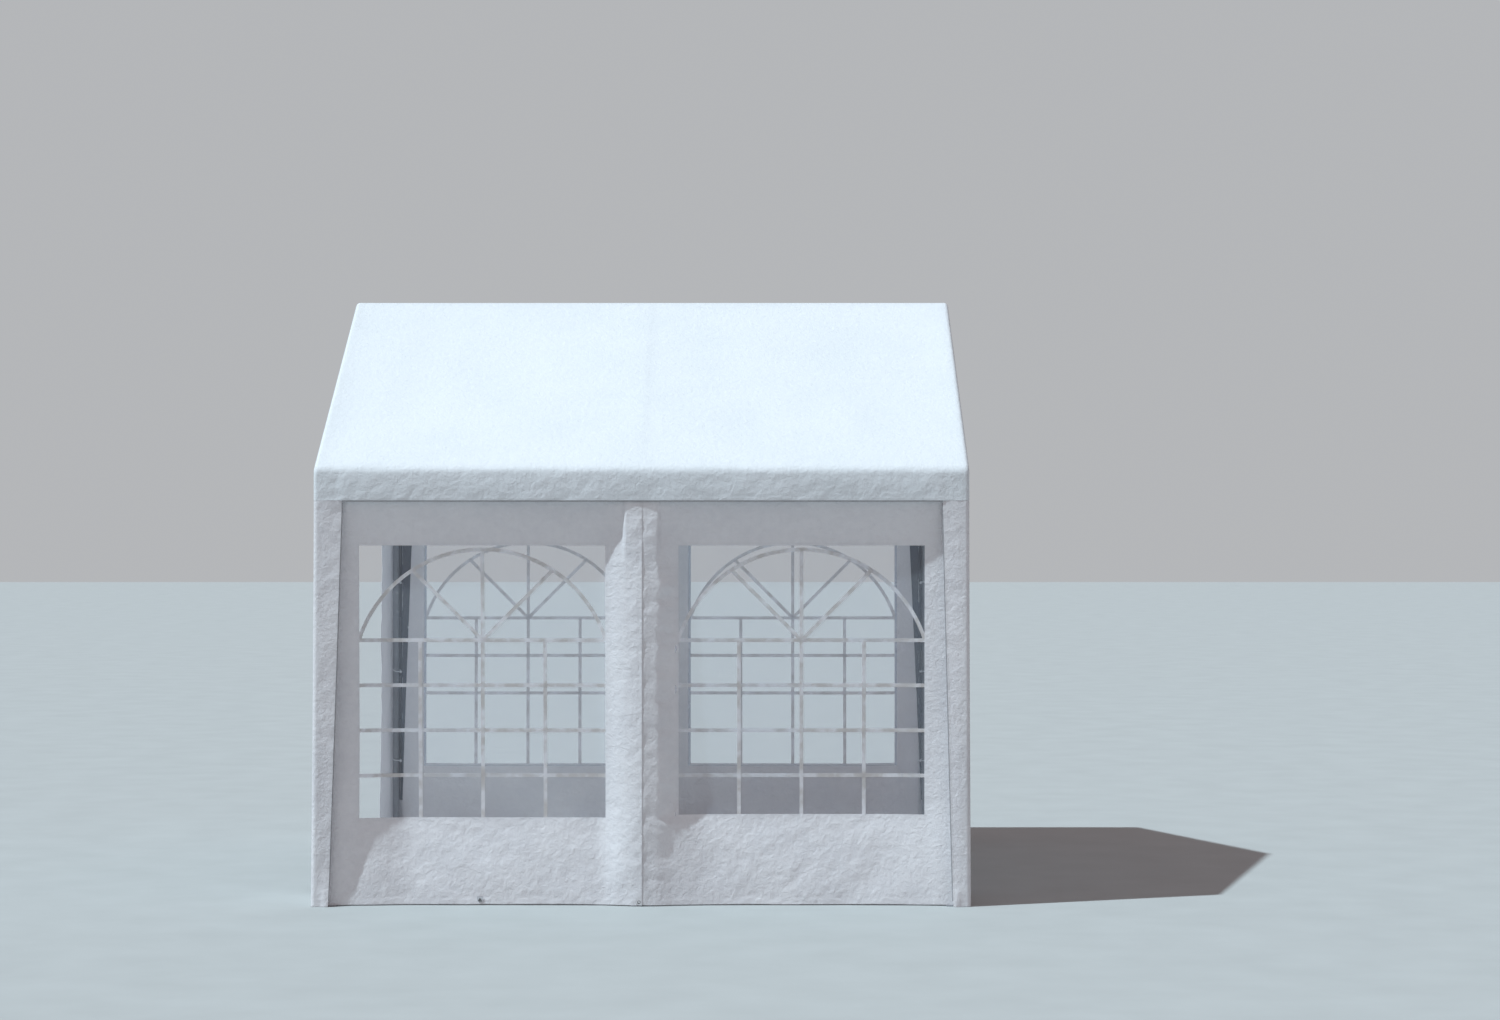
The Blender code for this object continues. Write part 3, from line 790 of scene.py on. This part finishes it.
def wall_panel(place):
    """One cloth wall, with its window opening and a hem along the ground."""
    side, end = place.split("_")
    sill = SILLS[place]
    # The left walls lap over the right ones at the middle leg
    inner = [(-0.0022, 1), (0.0, 2)] if end == "left" else [(0.0004, 2)]
    columns = inner + [(0.012, 24), (WINDOW_NEAR - HEM, 2), (WINDOW_NEAR, 100)]
    columns = spread(*columns, (WINDOW_FAR, 2), (WINDOW_FAR + HEM, 24), (WALL_END, 0))
    rows = [(GROUND_CLEARANCE, 3), (HEM_TOP, 1), (HEM_TOP + 0.003, 50), (sill - HEM, 2), (sill, WINDOW_ROWS)]
    rows = spread(*rows, (WINDOW_HEAD, 2), (WINDOW_HEAD + HEM, 30), (WALL_TOP, 0))
    x, z = np.meshgrid(columns, rows)
    points = wall_point(x, z, place)
    lifted = 0.0003 * fade(z, HEM_TOP, HEM_TOP + 0.003)
    points[:, :, 1] += SIDES[side] * lifted
    seed = 40 * PLACES.index(place)
    points[:, :, 2] += 0.0012 * fade(z, 0.0, 0.1) * creases(x, z, 0, 0.09, 0.3, seed + 18)
    mid_x = (columns[:-1] + columns[1:]) / 2
    mid_z = (rows[:-1] + rows[1:]) / 2
    in_x = (mid_x > WINDOW_NEAR) & (mid_x < WINDOW_FAR)
    in_z = (mid_z > sill) & (mid_z < WINDOW_HEAD)
    keep = ~(in_z[:, None] & in_x[None, :])
    piece = cloth(f"wall_cloth_{place}", points, wall_cloth, (0, SIDES[side], 0), (x, z), keep)
    finish_piece(piece, "wall_fabric", f"wall_{place}")


def window_film(place):
    """The clear film behind a window opening, welded to the wall's back all round."""
    side = place.split("_")[0]
    sill = SILLS[place]
    columns = spread((WINDOW_NEAR - HEM, 2), (WINDOW_NEAR, 50), (WINDOW_FAR, 2), (WINDOW_FAR + HEM, 0))
    rows = spread((sill - HEM, 2), (sill, WINDOW_ROWS), (WINDOW_HEAD, 2), (WINDOW_HEAD + HEM, 0))
    x, z = np.meshgrid(columns, rows)
    points = wall_point(x, z, place, CLOTH + 0.0007)
    film = cloth(f"film_{place}", points, clear_film, (0, SIDES[side], 0), (x, z), thickness=FILM)
    finish_piece(film, "window_film", f"window_film_{place}")
    bars = window_bars(place, sill)
    finish_piece(bars, "window_film")


def window_bars(place, sill):
    """The printed bars: three levels of panes under an arch with two spokes."""
    centre = (WINDOW_NEAR + WINDOW_FAR) / 2
    springing = BAR_HEIGHTS[0]
    apex = ARC_CENTRE + ARC_RADIUS
    lines = [[(WINDOW_NEAR, height), (WINDOW_FAR, height)] for height in BAR_HEIGHTS]
    lines.append([(centre, sill), (centre, apex)])
    for side in (-1, 1):
        upright = centre + side * BAR_SPACING
        lines.append([(upright, sill), (upright, springing)])
        spoke = spoke_reach(springing)
        lines.append([(centre, springing), (centre + side * spoke, springing + spoke)])
    half = (WINDOW_FAR - WINDOW_NEAR) / 2
    swing = math.asin(half / ARC_RADIUS)
    angles = np.linspace(-swing, swing, 60)
    arch = [(centre + ARC_RADIUS * math.sin(a), ARC_CENTRE + ARC_RADIUS * math.cos(a)) for a in angles]
    lines.append(arch)
    forms = [bar_ribbon(line, place, 0.00002 * number) for number, line in enumerate(lines)]
    return join(f"window_bars_{place}", forms, printed_bars)


def spoke_reach(springing):
    """How far a 45 degree spoke from the springing line's middle goes across before it meets the arch."""
    drop = springing - ARC_CENTRE
    return (-drop + math.sqrt(2 * ARC_RADIUS**2 - drop**2)) / 2


def bar_ribbon(line, place, lift):
    """A thin flat ribbon along a line on the film, on the film's outer side."""
    stops = [Vector(point) for point in line]
    path = [stops[0]]
    for start, end in zip(stops, stops[1:]):
        steps = max(1, round((end - start).length / 0.02))
        path += [start.lerp(end, (k + 1) / steps) for k in range(steps)]
    edges = []
    for before, point, after in zip(path[:1] + path, path, path[1:] + path[-1:]):
        way = (after - before).normalized()
        off = Vector((-way.y, way.x)) * BAR_WIDTH / 2
        edges.append((point + off, point - off))
    edges = np.array(edges)
    x = np.clip(edges[:, :, 0], WINDOW_NEAR, WINDOW_FAR)
    z = edges[:, :, 1]
    back = wall_point(x, z, place, CLOTH + 0.00025 - lift)
    face = wall_point(x, z, place, CLOTH - 0.00015 - lift)
    return loft([(front[0], front[1], rear[1], rear[0]) for front, rear in zip(face, back)])


def corner_shade_band(place):
    """A dark band of painted shade on the wall's back beside the leg, where the corner strip laps over it."""
    side = place.split("_")[0]
    top_inner, base_inner = SHADE_BAND_INNER[place]
    rows = np.linspace(0.2, 1.95, 110)
    shares = np.linspace(0, 1, 16)
    inner = np.interp(rows, [0, VALANCE_BOTTOM], [base_inner, top_inner])
    x = inner[:, None] + (WALL_END - 0.001 - inner[:, None]) * shares[None, :]
    z = rows[:, None] + 0 * x
    points = wall_point(x, z, place, CLOTH + 0.0003)
    outward = (0, SIDES[side], 0)
    piece = cloth(f"corner_shade_band_{place}", points, painted_shade_cloth, outward, (x, z), thickness=SHADE_BAND_THICKNESS)
    finish_piece(piece, "wall_fabric")


# Corner strips and gable ends


def corner_strip(place):
    """The cloth beside a doorway, which turns the rounded corner and laps over the side wall."""
    side, end = place.split("_")
    sign, direction = SIDES[side], ENDS[end]
    top_inner, base_inner = STRIP_INNER[place]
    seed = 300 + 10 * PLACES.index(place)
    over = 0.024
    rows = [(STRIP_CLEARANCE, 3), (HEM_TOP, 1), (HEM_TOP + 0.001, 150), (VALANCE_BOTTOM - 0.0004, 2)]
    rows = spread(*rows, (VALANCE_BOTTOM + over, 0))
    centre = STRIP_PLANE - EDGE_ROUND
    beside = centre - DOOR_EDGE
    turned_at = beside + EDGE_ROUND * math.pi / 2
    stops = spread((0, 2), (0.018, 30), (beside, 9), (turned_at, 0))
    shares = np.linspace(0, 1, 14)[1:]
    height = np.minimum(rows / VALANCE_BOTTOM, 1)[:, None]
    outward = STRIP_FLARE[place] * (1 - height) ** 1.4
    forward = 0.006 * (1 - height) ** 1.5
    inner = base_inner + (top_inner - base_inner) * height
    start = centre + outward
    angle = np.clip(stops - beside, 0, None) / EDGE_ROUND
    door_y = DOOR_EDGE + stops + forward * stops / beside
    turn_y = centre + forward + EDGE_ROUND * np.sin(angle)
    x = np.hstack([start + EDGE_ROUND * np.cos(angle), start + (inner - start) * shares])
    y = np.hstack([np.where(stops <= beside, door_y, turn_y), STRIP_PLANE + forward + 0 * shares])
    u = np.hstack([stops + 0 * height, turned_at + (start - inner) * shares])
    v = rows[:, None] + 0 * u
    points = np.stack([x, y, v], axis=-1)
    lap = ramp(u, turned_at, turned_at + 0.03)
    door = fade(u, beside - 0.06, beside - 0.01)
    calm = ramp(VALANCE_BOTTOM - v, 0.0, 0.06)
    soft = 0.0017 * creases(u, v, 12, 0.12, 0.05, seed) + 0.0013 * crumple(u, v, seed + 1)
    soft = soft + 0.0008 * crumple(1.9 * u, 1.9 * v, seed + 21)
    roll = 0.004 * lap**2 * ramp(u, turned_at, turned_at + 0.12) * creases(u, v, 90, 0.5, 0.3, seed + 5)
    back = LAP_SLOPE[end] * np.clip(u - turned_at, 0, None)
    curl = 0.011 * ramp(u, turned_at, turned_at + 0.05) ** 2 * fade(v, 0.01, 0.12)
    points[:, :, 1] += calm * (lap * (soft + roll) - back) + curl
    billow = 0.006 * creases(u, v, 85, 0.9, 0.22, seed + 6) * fade(u, beside - 0.2, beside)
    points[:, :, 0] += calm * door * (1.6 * soft + billow)
    points[:, :, 0] *= direction
    points[:, :, 1] *= sign
    above = rows[:-1] >= VALANCE_BOTTOM - 0.001
    first_past = np.searchsorted(stops, HALF_WIDTH - GABLE_HEM - 0.004 - DOOR_EDGE)
    past = np.arange(points.shape[1] - 1) >= first_past
    keep = ~(above[:, None] & past[None, :])
    piece = cloth(f"corner_strip_cloth_{place}", points, wall_cloth, (direction, sign, 0), (u, v), keep)
    finish_piece(piece, "wall_fabric", f"corner_strip_{place}")
    zip_piece = door_zip(place, points[:, 1])
    finish_piece(zip_piece, "wall_fabric")
    # Painted shade: a dark tape for the shadow line along the strip's inner edge
    strip_shade_line(place, points[:, -1])


def gable_panel(end):
    """The cloth over a doorway, under the roof's hem."""
    direction = ENDS[end]
    half = 1.478
    across = np.linspace(-half, half, 131)
    parts = np.linspace(0, 1, 42)
    parts = np.r_[parts[0], 0.016, 0.018, parts[1:]]
    y, share = np.meshgrid(across, parts)
    peak = RIDGE - 0.02 / math.cos(SLOPE)
    top = peak - np.abs(y) * math.tan(SLOPE)
    z = DOOR_TOP + (top - DOOR_TOP) * share
    seed = 500 + 20 * direction
    calm = ramp(top - z, 0.0, 0.12) * fade(np.abs(y), half - 0.08, half)
    folds = layered(y, z, seed, (0.0018, 70, 0.35, 0.1), (0.0018, -62, 0.3, 0.09))
    folds = folds + 0.0008 * crumple(y, z, seed + 2)
    x = HALF_LENGTH - 0.0036 - 0.002 * calm - np.abs(calm * folds)
    points = np.stack([direction * x, y, z], axis=-1)
    piece = cloth(f"gable_cloth_{end}", points, wall_cloth, (direction, 0, 0), (y, z))
    finish_piece(piece, "wall_fabric", f"gable_panel_{end}")


def door_curtain(end):
    """The doorway's curtain, rolled up on itself under the gable panel."""
    direction = ENDS[end]
    low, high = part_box(f"door_curtain_{end}")
    centre_x = (low.x + high.x) / 2
    centre_z = (low.z + high.z) / 2
    radius = (high.z - low.z) / 2
    half = (high.y - low.y) / 2
    turns = 9.5
    core = 0.011
    pitch = (radius - 0.003 - core) / turns
    count = int(turns * 22)
    angles = np.linspace(0, turns * math.tau, count)
    along = np.linspace(-half, half, 52)
    angle, y = np.meshgrid(angles, along)
    size = core + pitch * angle / math.tau
    outer = ramp(size, radius * 0.5, radius * 0.95)
    seed = 600 + 10 * direction
    lumps = 0.0016 * lattice_noise(y / 0.11, angle / 2.1, seed)
    lumps += 0.0012 * creases(y, size * angle, 65, 0.2, 0.05, seed + 1)
    strap = sum(np.exp(-(((y - place) / 0.03) ** 2)) for place in STRAPS)
    size = size + outer * (lumps - 0.0035 * strap) - 0.0008
    sag = 0.002 * np.cos(math.tau * y / half)
    x = centre_x - direction * size * np.cos(angle)
    z = centre_z + sag + size * np.sin(angle)
    ends = 0.006 * lattice_noise(angle / 1.7, 0 * y + 0.5, seed + 2)
    y = y + (ends - 0.006) * ramp(np.abs(y), half - 0.2, half) * np.sign(y)
    points = np.stack([x, y, z], axis=-1)
    laid = size * angle / 2
    piece = cloth(f"door_curtain_cloth_{end}", points, wall_cloth, (direction, 0, 0), (y, laid))
    finish_piece(piece, "wall_fabric", f"door_curtain_{end}")
    straps = curtain_straps(end, centre_x, centre_z, radius)
    finish_piece(straps, "wall_fabric")


def curtain_straps(end, centre_x, centre_z, radius):
    """The webbing ties that hold the rolled curtain, each with a toggle."""
    inner = radius + 0.0012
    outer = inner * (1 + 0.0014 / radius)
    half = 0.0125
    section = ((inner, -half), (inner, half), (outer, half), (outer, -half))
    toggle = [(0, -0.018), (0.0035, -0.017), (0.005, -0.013), (0.004, 0), (0.005, 0.013), (0.0035, 0.017)]
    toggle.append((0, 0.018))
    forms = []
    for place in STRAPS:
        rings = []
        for angle in around(32):
            c, s = math.cos(angle), math.sin(angle)
            rings.append([(centre_x + size * c, place + off, centre_z + size * s) for size, off in section])
        forms.append(loft(rings, closed=True))
        beside = (centre_x - ENDS[end] * (radius + 0.006), place, centre_z)
        forms.append(turned(toggle, facing(beside, (0, 1, 0)), 12))
    return join(f"curtain_straps_{end}", forms, grey_webbing)


# Fastenings


def wall_spot(x, z, place):
    """A point on a wall's outer face and the direction that the wall faces there."""
    step = 0.004
    spots = wall_point(np.array([x, x + step, x]), np.array([z, z, z + step]), place)
    across, up = Vector(spots[1] - spots[0]), Vector(spots[2] - spots[0])
    normal = across.cross(up).normalized()
    if normal.y * SIDES[place.split("_")[0]] < 0:
        normal = -normal
    return Vector(spots[0]), normal


def hem_eyelet(place):
    """A dark plated eyelet in the lower hem, where the two walls meet."""
    section = [(0.0046, 0), (0.005, 0.0012), (0.0062, 0.0018), (0.0078, 0.0015), (0.0092, 0.0004)]
    section += [(0.0092, -0.0006), (0.0046, -0.0006), (0.0046, 0)]
    spot, normal = wall_spot(EYELET_X, GROUND_CLEARANCE + 0.014, place)
    return join(f"hem_eyelets_{place}", [turned(section, facing(spot, normal))], dark_metal)


def peg_loop(place):
    """A webbing tab on the hem's middle, with a dark three-cornered ring for a ground peg."""
    spot, normal = wall_spot(PEG_LOOP_X, HEM_TOP, place)
    origin = spot + normal * 0.0006
    across = Vector((0, 0, 1)).cross(normal).normalized()

    def at(a, b, out=0.0):
        return origin + across * a + Vector((0, 0, b)) + normal * out

    outline = [(-0.014, 0.012), (0.014, 0.012), (0.014, -0.002)]
    outline += [(0.008, -0.012), (-0.008, -0.012), (-0.014, -0.002)]
    tab = loft([[at(a, b) for a, b in outline], [at(a, b, 0.0014) for a, b in outline]])
    corners = np.array([(0.0, 0.004), (0.0075, -0.0085), (-0.0075, -0.0085)])
    path = []
    for start, end in zip(corners, np.roll(corners, -1, axis=0)):
        for part in (0.12, 0.5, 0.88):
            path.append(at(*(start + (end - start) * part), 0.003))
    patch = join(f"peg_tab_{place}", [tab], grey_webbing)
    return patch, join(f"peg_ring_{place}", [tube_along(path, 0.0016, closed=True)], dark_metal)


def tie_loops(side, column):
    """Elastic loops that tie the cloth to a leg, each with a ball on the inner side."""
    x = LEG_X * COLUMNS[column]
    y = LEG_Y * SIDES[side]
    inward = math.atan2(-SIDES[side] * 0.75, -x * 0.6 if x else 0.35)
    forms = []
    for number, height in enumerate(LOOP_HEIGHTS):
        path, sizes = [], []
        for angle in around(28):
            face = math.cos(angle - inward)
            stretch = max(0.0, face) ** 3
            size = LEG_RADIUS + 0.0013 + 0.0012 * max(0.0, face + 0.2) + 0.011 * stretch
            drop = -0.007 * face + 0.002 * math.sin(2 * angle + number)
            path.append((x + size * math.cos(angle), y + size * math.sin(angle), height + drop))
            sizes.append(0.0014 + 0.0014 * min(1.0, max(0.0, face + 0.5)))
        forms.append(tube_along(path, sizes, closed=True))
        reach_out = LEG_RADIUS + 0.0185
        ball = (x + reach_out * math.cos(inward), y + reach_out * math.sin(inward), height - 0.009)
        forms.append(turned(BALL, facing(ball, (0.2, 0.1, 1)), 14))
    return join(f"tie_loops_{side}_{column}", forms, white_cord)


def wing_screw(point, direction):
    """A wing screw whose boss sits on a sleeve at a point: boss, nut, shank and two wings."""
    place = facing(point, direction)
    forms = []
    boss = [(0.0, -0.002), (0.0065, -0.002), (0.0065, 0.004), (0.0058, 0.0046), (0.0, 0.0046)]
    forms.append(turned(boss, place, 16))
    nut = [(0, 0.0044), (0.0056, 0.0044), (0.0062, 0.005), (0.0062, 0.008), (0.0056, 0.0086), (0, 0.0086)]
    forms.append(turned(nut, place, 6))
    ridges = [(0.0, 0.0084)]
    for k in range(6):
        ridges += [(0.0026, 0.0086 + 0.0012 * k), (0.0031, 0.0092 + 0.0012 * k)]
    ridges += [(0.0046, 0.0162), (0.0046, 0.021), (0.0038, 0.0222), (0.0, 0.0222)]
    forms.append(turned(ridges, place, 12))
    for side in (-1, 1):
        wing = bmesh.new()
        bmesh.ops.create_uvsphere(wing, u_segments=12, v_segments=8, radius=1)
        shape = Matrix.LocRotScale((side * 0.0085, 0, 0.0215), None, (0.0062, 0.0014, 0.0062))
        bmesh.ops.transform(wing, matrix=place @ shape, verts=wing.verts)
        forms.append(wing)
    return forms


def connector_screws(name, node, arms):
    """The wing screws of one connector, a set way along each of its sleeves."""
    forms = []
    for along, out in arms:
        along, out = Vector(along).normalized(), Vector(out).normalized()
        forms += wing_screw(Vector(node) + along * SCREW_ALONG + out * SLEEVE_FACE, out)
    return join(name, forms, plated)


def all_screws():
    """Wing screws on every connector."""
    made = []
    rise, run = math.sin(SLOPE), math.cos(SLOPE)
    for side, sign in SIDES.items():
        for column, way in COLUMNS.items():
            node = (way * LEG_X, sign * LEG_Y, EAVE_AXIS)
            arms = [((0, 0, -1), (0, -sign, 0)), ((0, -sign * run, rise), (0, -sign * rise, -run))]
            arms += [((beam, 0, 0), (0, -sign, -0.4)) for beam in (-1, 1) if beam != way]
            made.append(connector_screws(f"wing_screws_eave_{side}_{column}", node, arms))
    for column, way in COLUMNS.items():
        node = (way * LEG_X, 0, RIDGE_AXIS)
        arms = [((0, sign * run, -rise), (0, -sign * rise, -run)) for sign in (-1, 1)]
        arms += [((beam, 0, 0), (0, 0, -1)) for beam in (-1, 1) if beam != way]
        made.append(connector_screws(f"wing_screws_ridge_{column}", node, arms))
    return made


def foot_welds():
    """The weld bead round the foot of each leg."""
    forms = []
    rng = np.random.default_rng(77)
    size = LEG_RADIUS + 0.0006
    for sign in (-1, 1):
        for way in (-1, 0, 1):
            path, sizes = [], []
            for angle in around(40):
                x = way * LEG_X + size * math.cos(angle)
                path.append((x, sign * LEG_Y + size * math.sin(angle), 0.0046))
                sizes.append(0.0021 + 0.0005 * rng.uniform(-1, 1))
            forms.append(tube_along(path, sizes, closed=True))
    return join("foot_welds", forms, powder_coat)


def door_zip(place, edge):
    """A zip along a doorway's edge, on the strip's face, with its slider run up to the top."""
    direction = ENDS[place.split("_")[1]]
    heights = np.arange(0.03, DOOR_TOP - 0.03, 0.0035)
    across, along = (np.interp(heights, edge[:, 2], edge[:, axis]) for axis in (0, 1))
    rings = []
    for number, (x, y, height) in enumerate(zip(across, along, heights)):
        tall, wide = (0.0021, 0.0034) if number % 2 else (0.0012, 0.0028)
        ring = [(0, -wide), (tall, -wide * 0.6), (tall, wide * 0.6), (0, wide)]
        rings.append([(x + direction * (0.0003 + a), y + b, height) for a, b in ring])
    x, y, z = across[-14], along[-14], heights[-14]
    slider = [(0, -0.006), (0.0045, -0.005), (0.0055, 0), (0.0045, 0.005), (0, 0.006)]
    flat = Matrix.Translation((x + direction * 0.0018, y, z)) @ Matrix.Diagonal((0.6, 1, 1, 1))
    pull = [(x + direction * 0.005, y, z - 0.002 - 0.008 * k) for k in range(4)]
    tab = tube_along(pull, [0.001, 0.0018, 0.0022, 0.0016])
    return join(f"door_zip_{place}", [loft(rings), turned(slider, flat, 12), tab], zip_coil)


# Stage, light and camera


def studio():
    """A pale floor, a high key light from the left and a little from the front, and an even fill."""
    floor = bmesh.new()
    bmesh.ops.create_grid(floor, x_segments=2, y_segments=2, size=60)
    mesh = bpy.data.meshes.new("floor")
    floor.to_mesh(mesh)
    floor.free()
    made = Surface("studio_floor")
    made.feed("Base Color", made.between(made.noise(made.on_tent(), 3.0, 4.0), FLOOR_LOW, FLOOR_HIGH))
    made.feed("Roughness", 0.9)
    made.feed("Specular IOR Level", 0.1)
    add_piece("floor", mesh, made.material)
    sun = bpy.data.lights.new("key", "SUN")
    sun.energy = KEY_STRENGTH
    sun.color = KEY_COLOUR
    sun.angle = math.radians(KEY_WIDTH)
    lamp = bpy.data.objects.new("key", sun)
    lamp.rotation_mode = "QUATERNION"
    lamp.rotation_quaternion = Vector(TO_LIGHT).to_track_quat("Z", "Y")
    bpy.context.scene.collection.objects.link(lamp)
    world = bpy.data.worlds.new("studio")
    bpy.context.scene.world = world
    world.use_nodes = True
    tree = world.node_tree
    fill = tree.nodes["Background"]
    fill.inputs["Color"].default_value = (*FILL_COLOUR, 1)
    fill.inputs["Strength"].default_value = FILL_STRENGTH
    seen = tree.nodes.new("ShaderNodeBackground")
    seen.inputs["Color"].default_value = (*BACKDROP, 1)
    path = tree.nodes.new("ShaderNodeLightPath")
    mix = tree.nodes.new("ShaderNodeMixShader")
    tree.links.new(path.outputs["Is Camera Ray"], mix.inputs[0])
    tree.links.new(fill.outputs[0], mix.inputs[1])
    tree.links.new(seen.outputs[0], mix.inputs[2])
    tree.links.new(mix.outputs[0], tree.nodes["World Output"].inputs["Surface"])
    bpy.context.scene.view_settings.view_transform = "Standard"


def camera():
    """The camera at the photograph's viewpoint, level and square to the front."""
    lens = bpy.data.cameras.new("camera")
    lens.lens = LENS
    lens.sensor_width = 36
    lens.clip_end = 200
    eye = bpy.data.objects.new("camera", lens)
    eye.location = EYE
    eye.rotation_euler = (math.pi / 2, 0, 0)
    bpy.context.scene.collection.objects.link(eye)
    bpy.context.scene.camera = eye


def smooth_shading():
    """A modifier tree that welds a solid's faces, and shades them smooth except where they meet sharply."""
    tree = bpy.data.node_groups.new("smooth_faces", "GeometryNodeTree")
    tree.is_modifier = True
    for way in ("INPUT", "OUTPUT"):
        tree.interface.new_socket("Geometry", in_out=way, socket_type="NodeSocketGeometry")
    add = tree.nodes.new
    plain = add("GeometryNodeRemoveAttribute")
    plain.inputs["Name"].default_value = "custom_normal"
    weld = add("GeometryNodeMergeByDistance")
    weld.inputs["Distance"].default_value = 0.00001
    faces, edges = add("GeometryNodeSetShadeSmooth"), add("GeometryNodeSetShadeSmooth")
    faces.domain, edges.domain = "FACE", "EDGE"
    edges.inputs["Shade Smooth"].default_value = False
    sharp = add("FunctionNodeCompare")
    sharp.data_type, sharp.operation = "FLOAT", "GREATER_THAN"
    sharp.inputs["B"].default_value = SOLID_SHARP
    tree.links.new(add("GeometryNodeInputMeshEdgeAngle").outputs["Unsigned Angle"], sharp.inputs["A"])
    tree.links.new(sharp.outputs[0], edges.inputs["Selection"])
    chain = [add("NodeGroupInput"), plain, weld, faces, edges, add("NodeGroupOutput")]
    for before, after in zip(chain, chain[1:]):
        tree.links.new(before.outputs[0], after.inputs[0])
    return tree


smooth_faces = smooth_shading()
for name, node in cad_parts.items():
    if name.startswith(("leg_", "rafter_", "eave_", "ridge_")):
        node.data.materials.clear()
        node.data.materials.append(powder_coat)
        node.modifiers.new("smooth_faces", "NODES").node_group = smooth_faces

roof_cover()
for place in SILLS:
    wall_panel(place)
    window_film(place)
    corner_shade_band(place)
    corner_strip(place)
for end in ENDS:
    gable_panel(end)
    door_curtain(end)
for place in SILLS:
    if place.endswith("left"):
        finish_piece(hem_eyelet(place), "wall_fabric")
    for piece in peg_loop(place):
        finish_piece(piece, "wall_fabric")
for side in SIDES:
    for column in COLUMNS:
        finish_piece(tie_loops(side, column), "wall_fabric")
for piece in all_screws() + [foot_welds()]:
    finish_piece(piece, "steel")
studio()
camera()
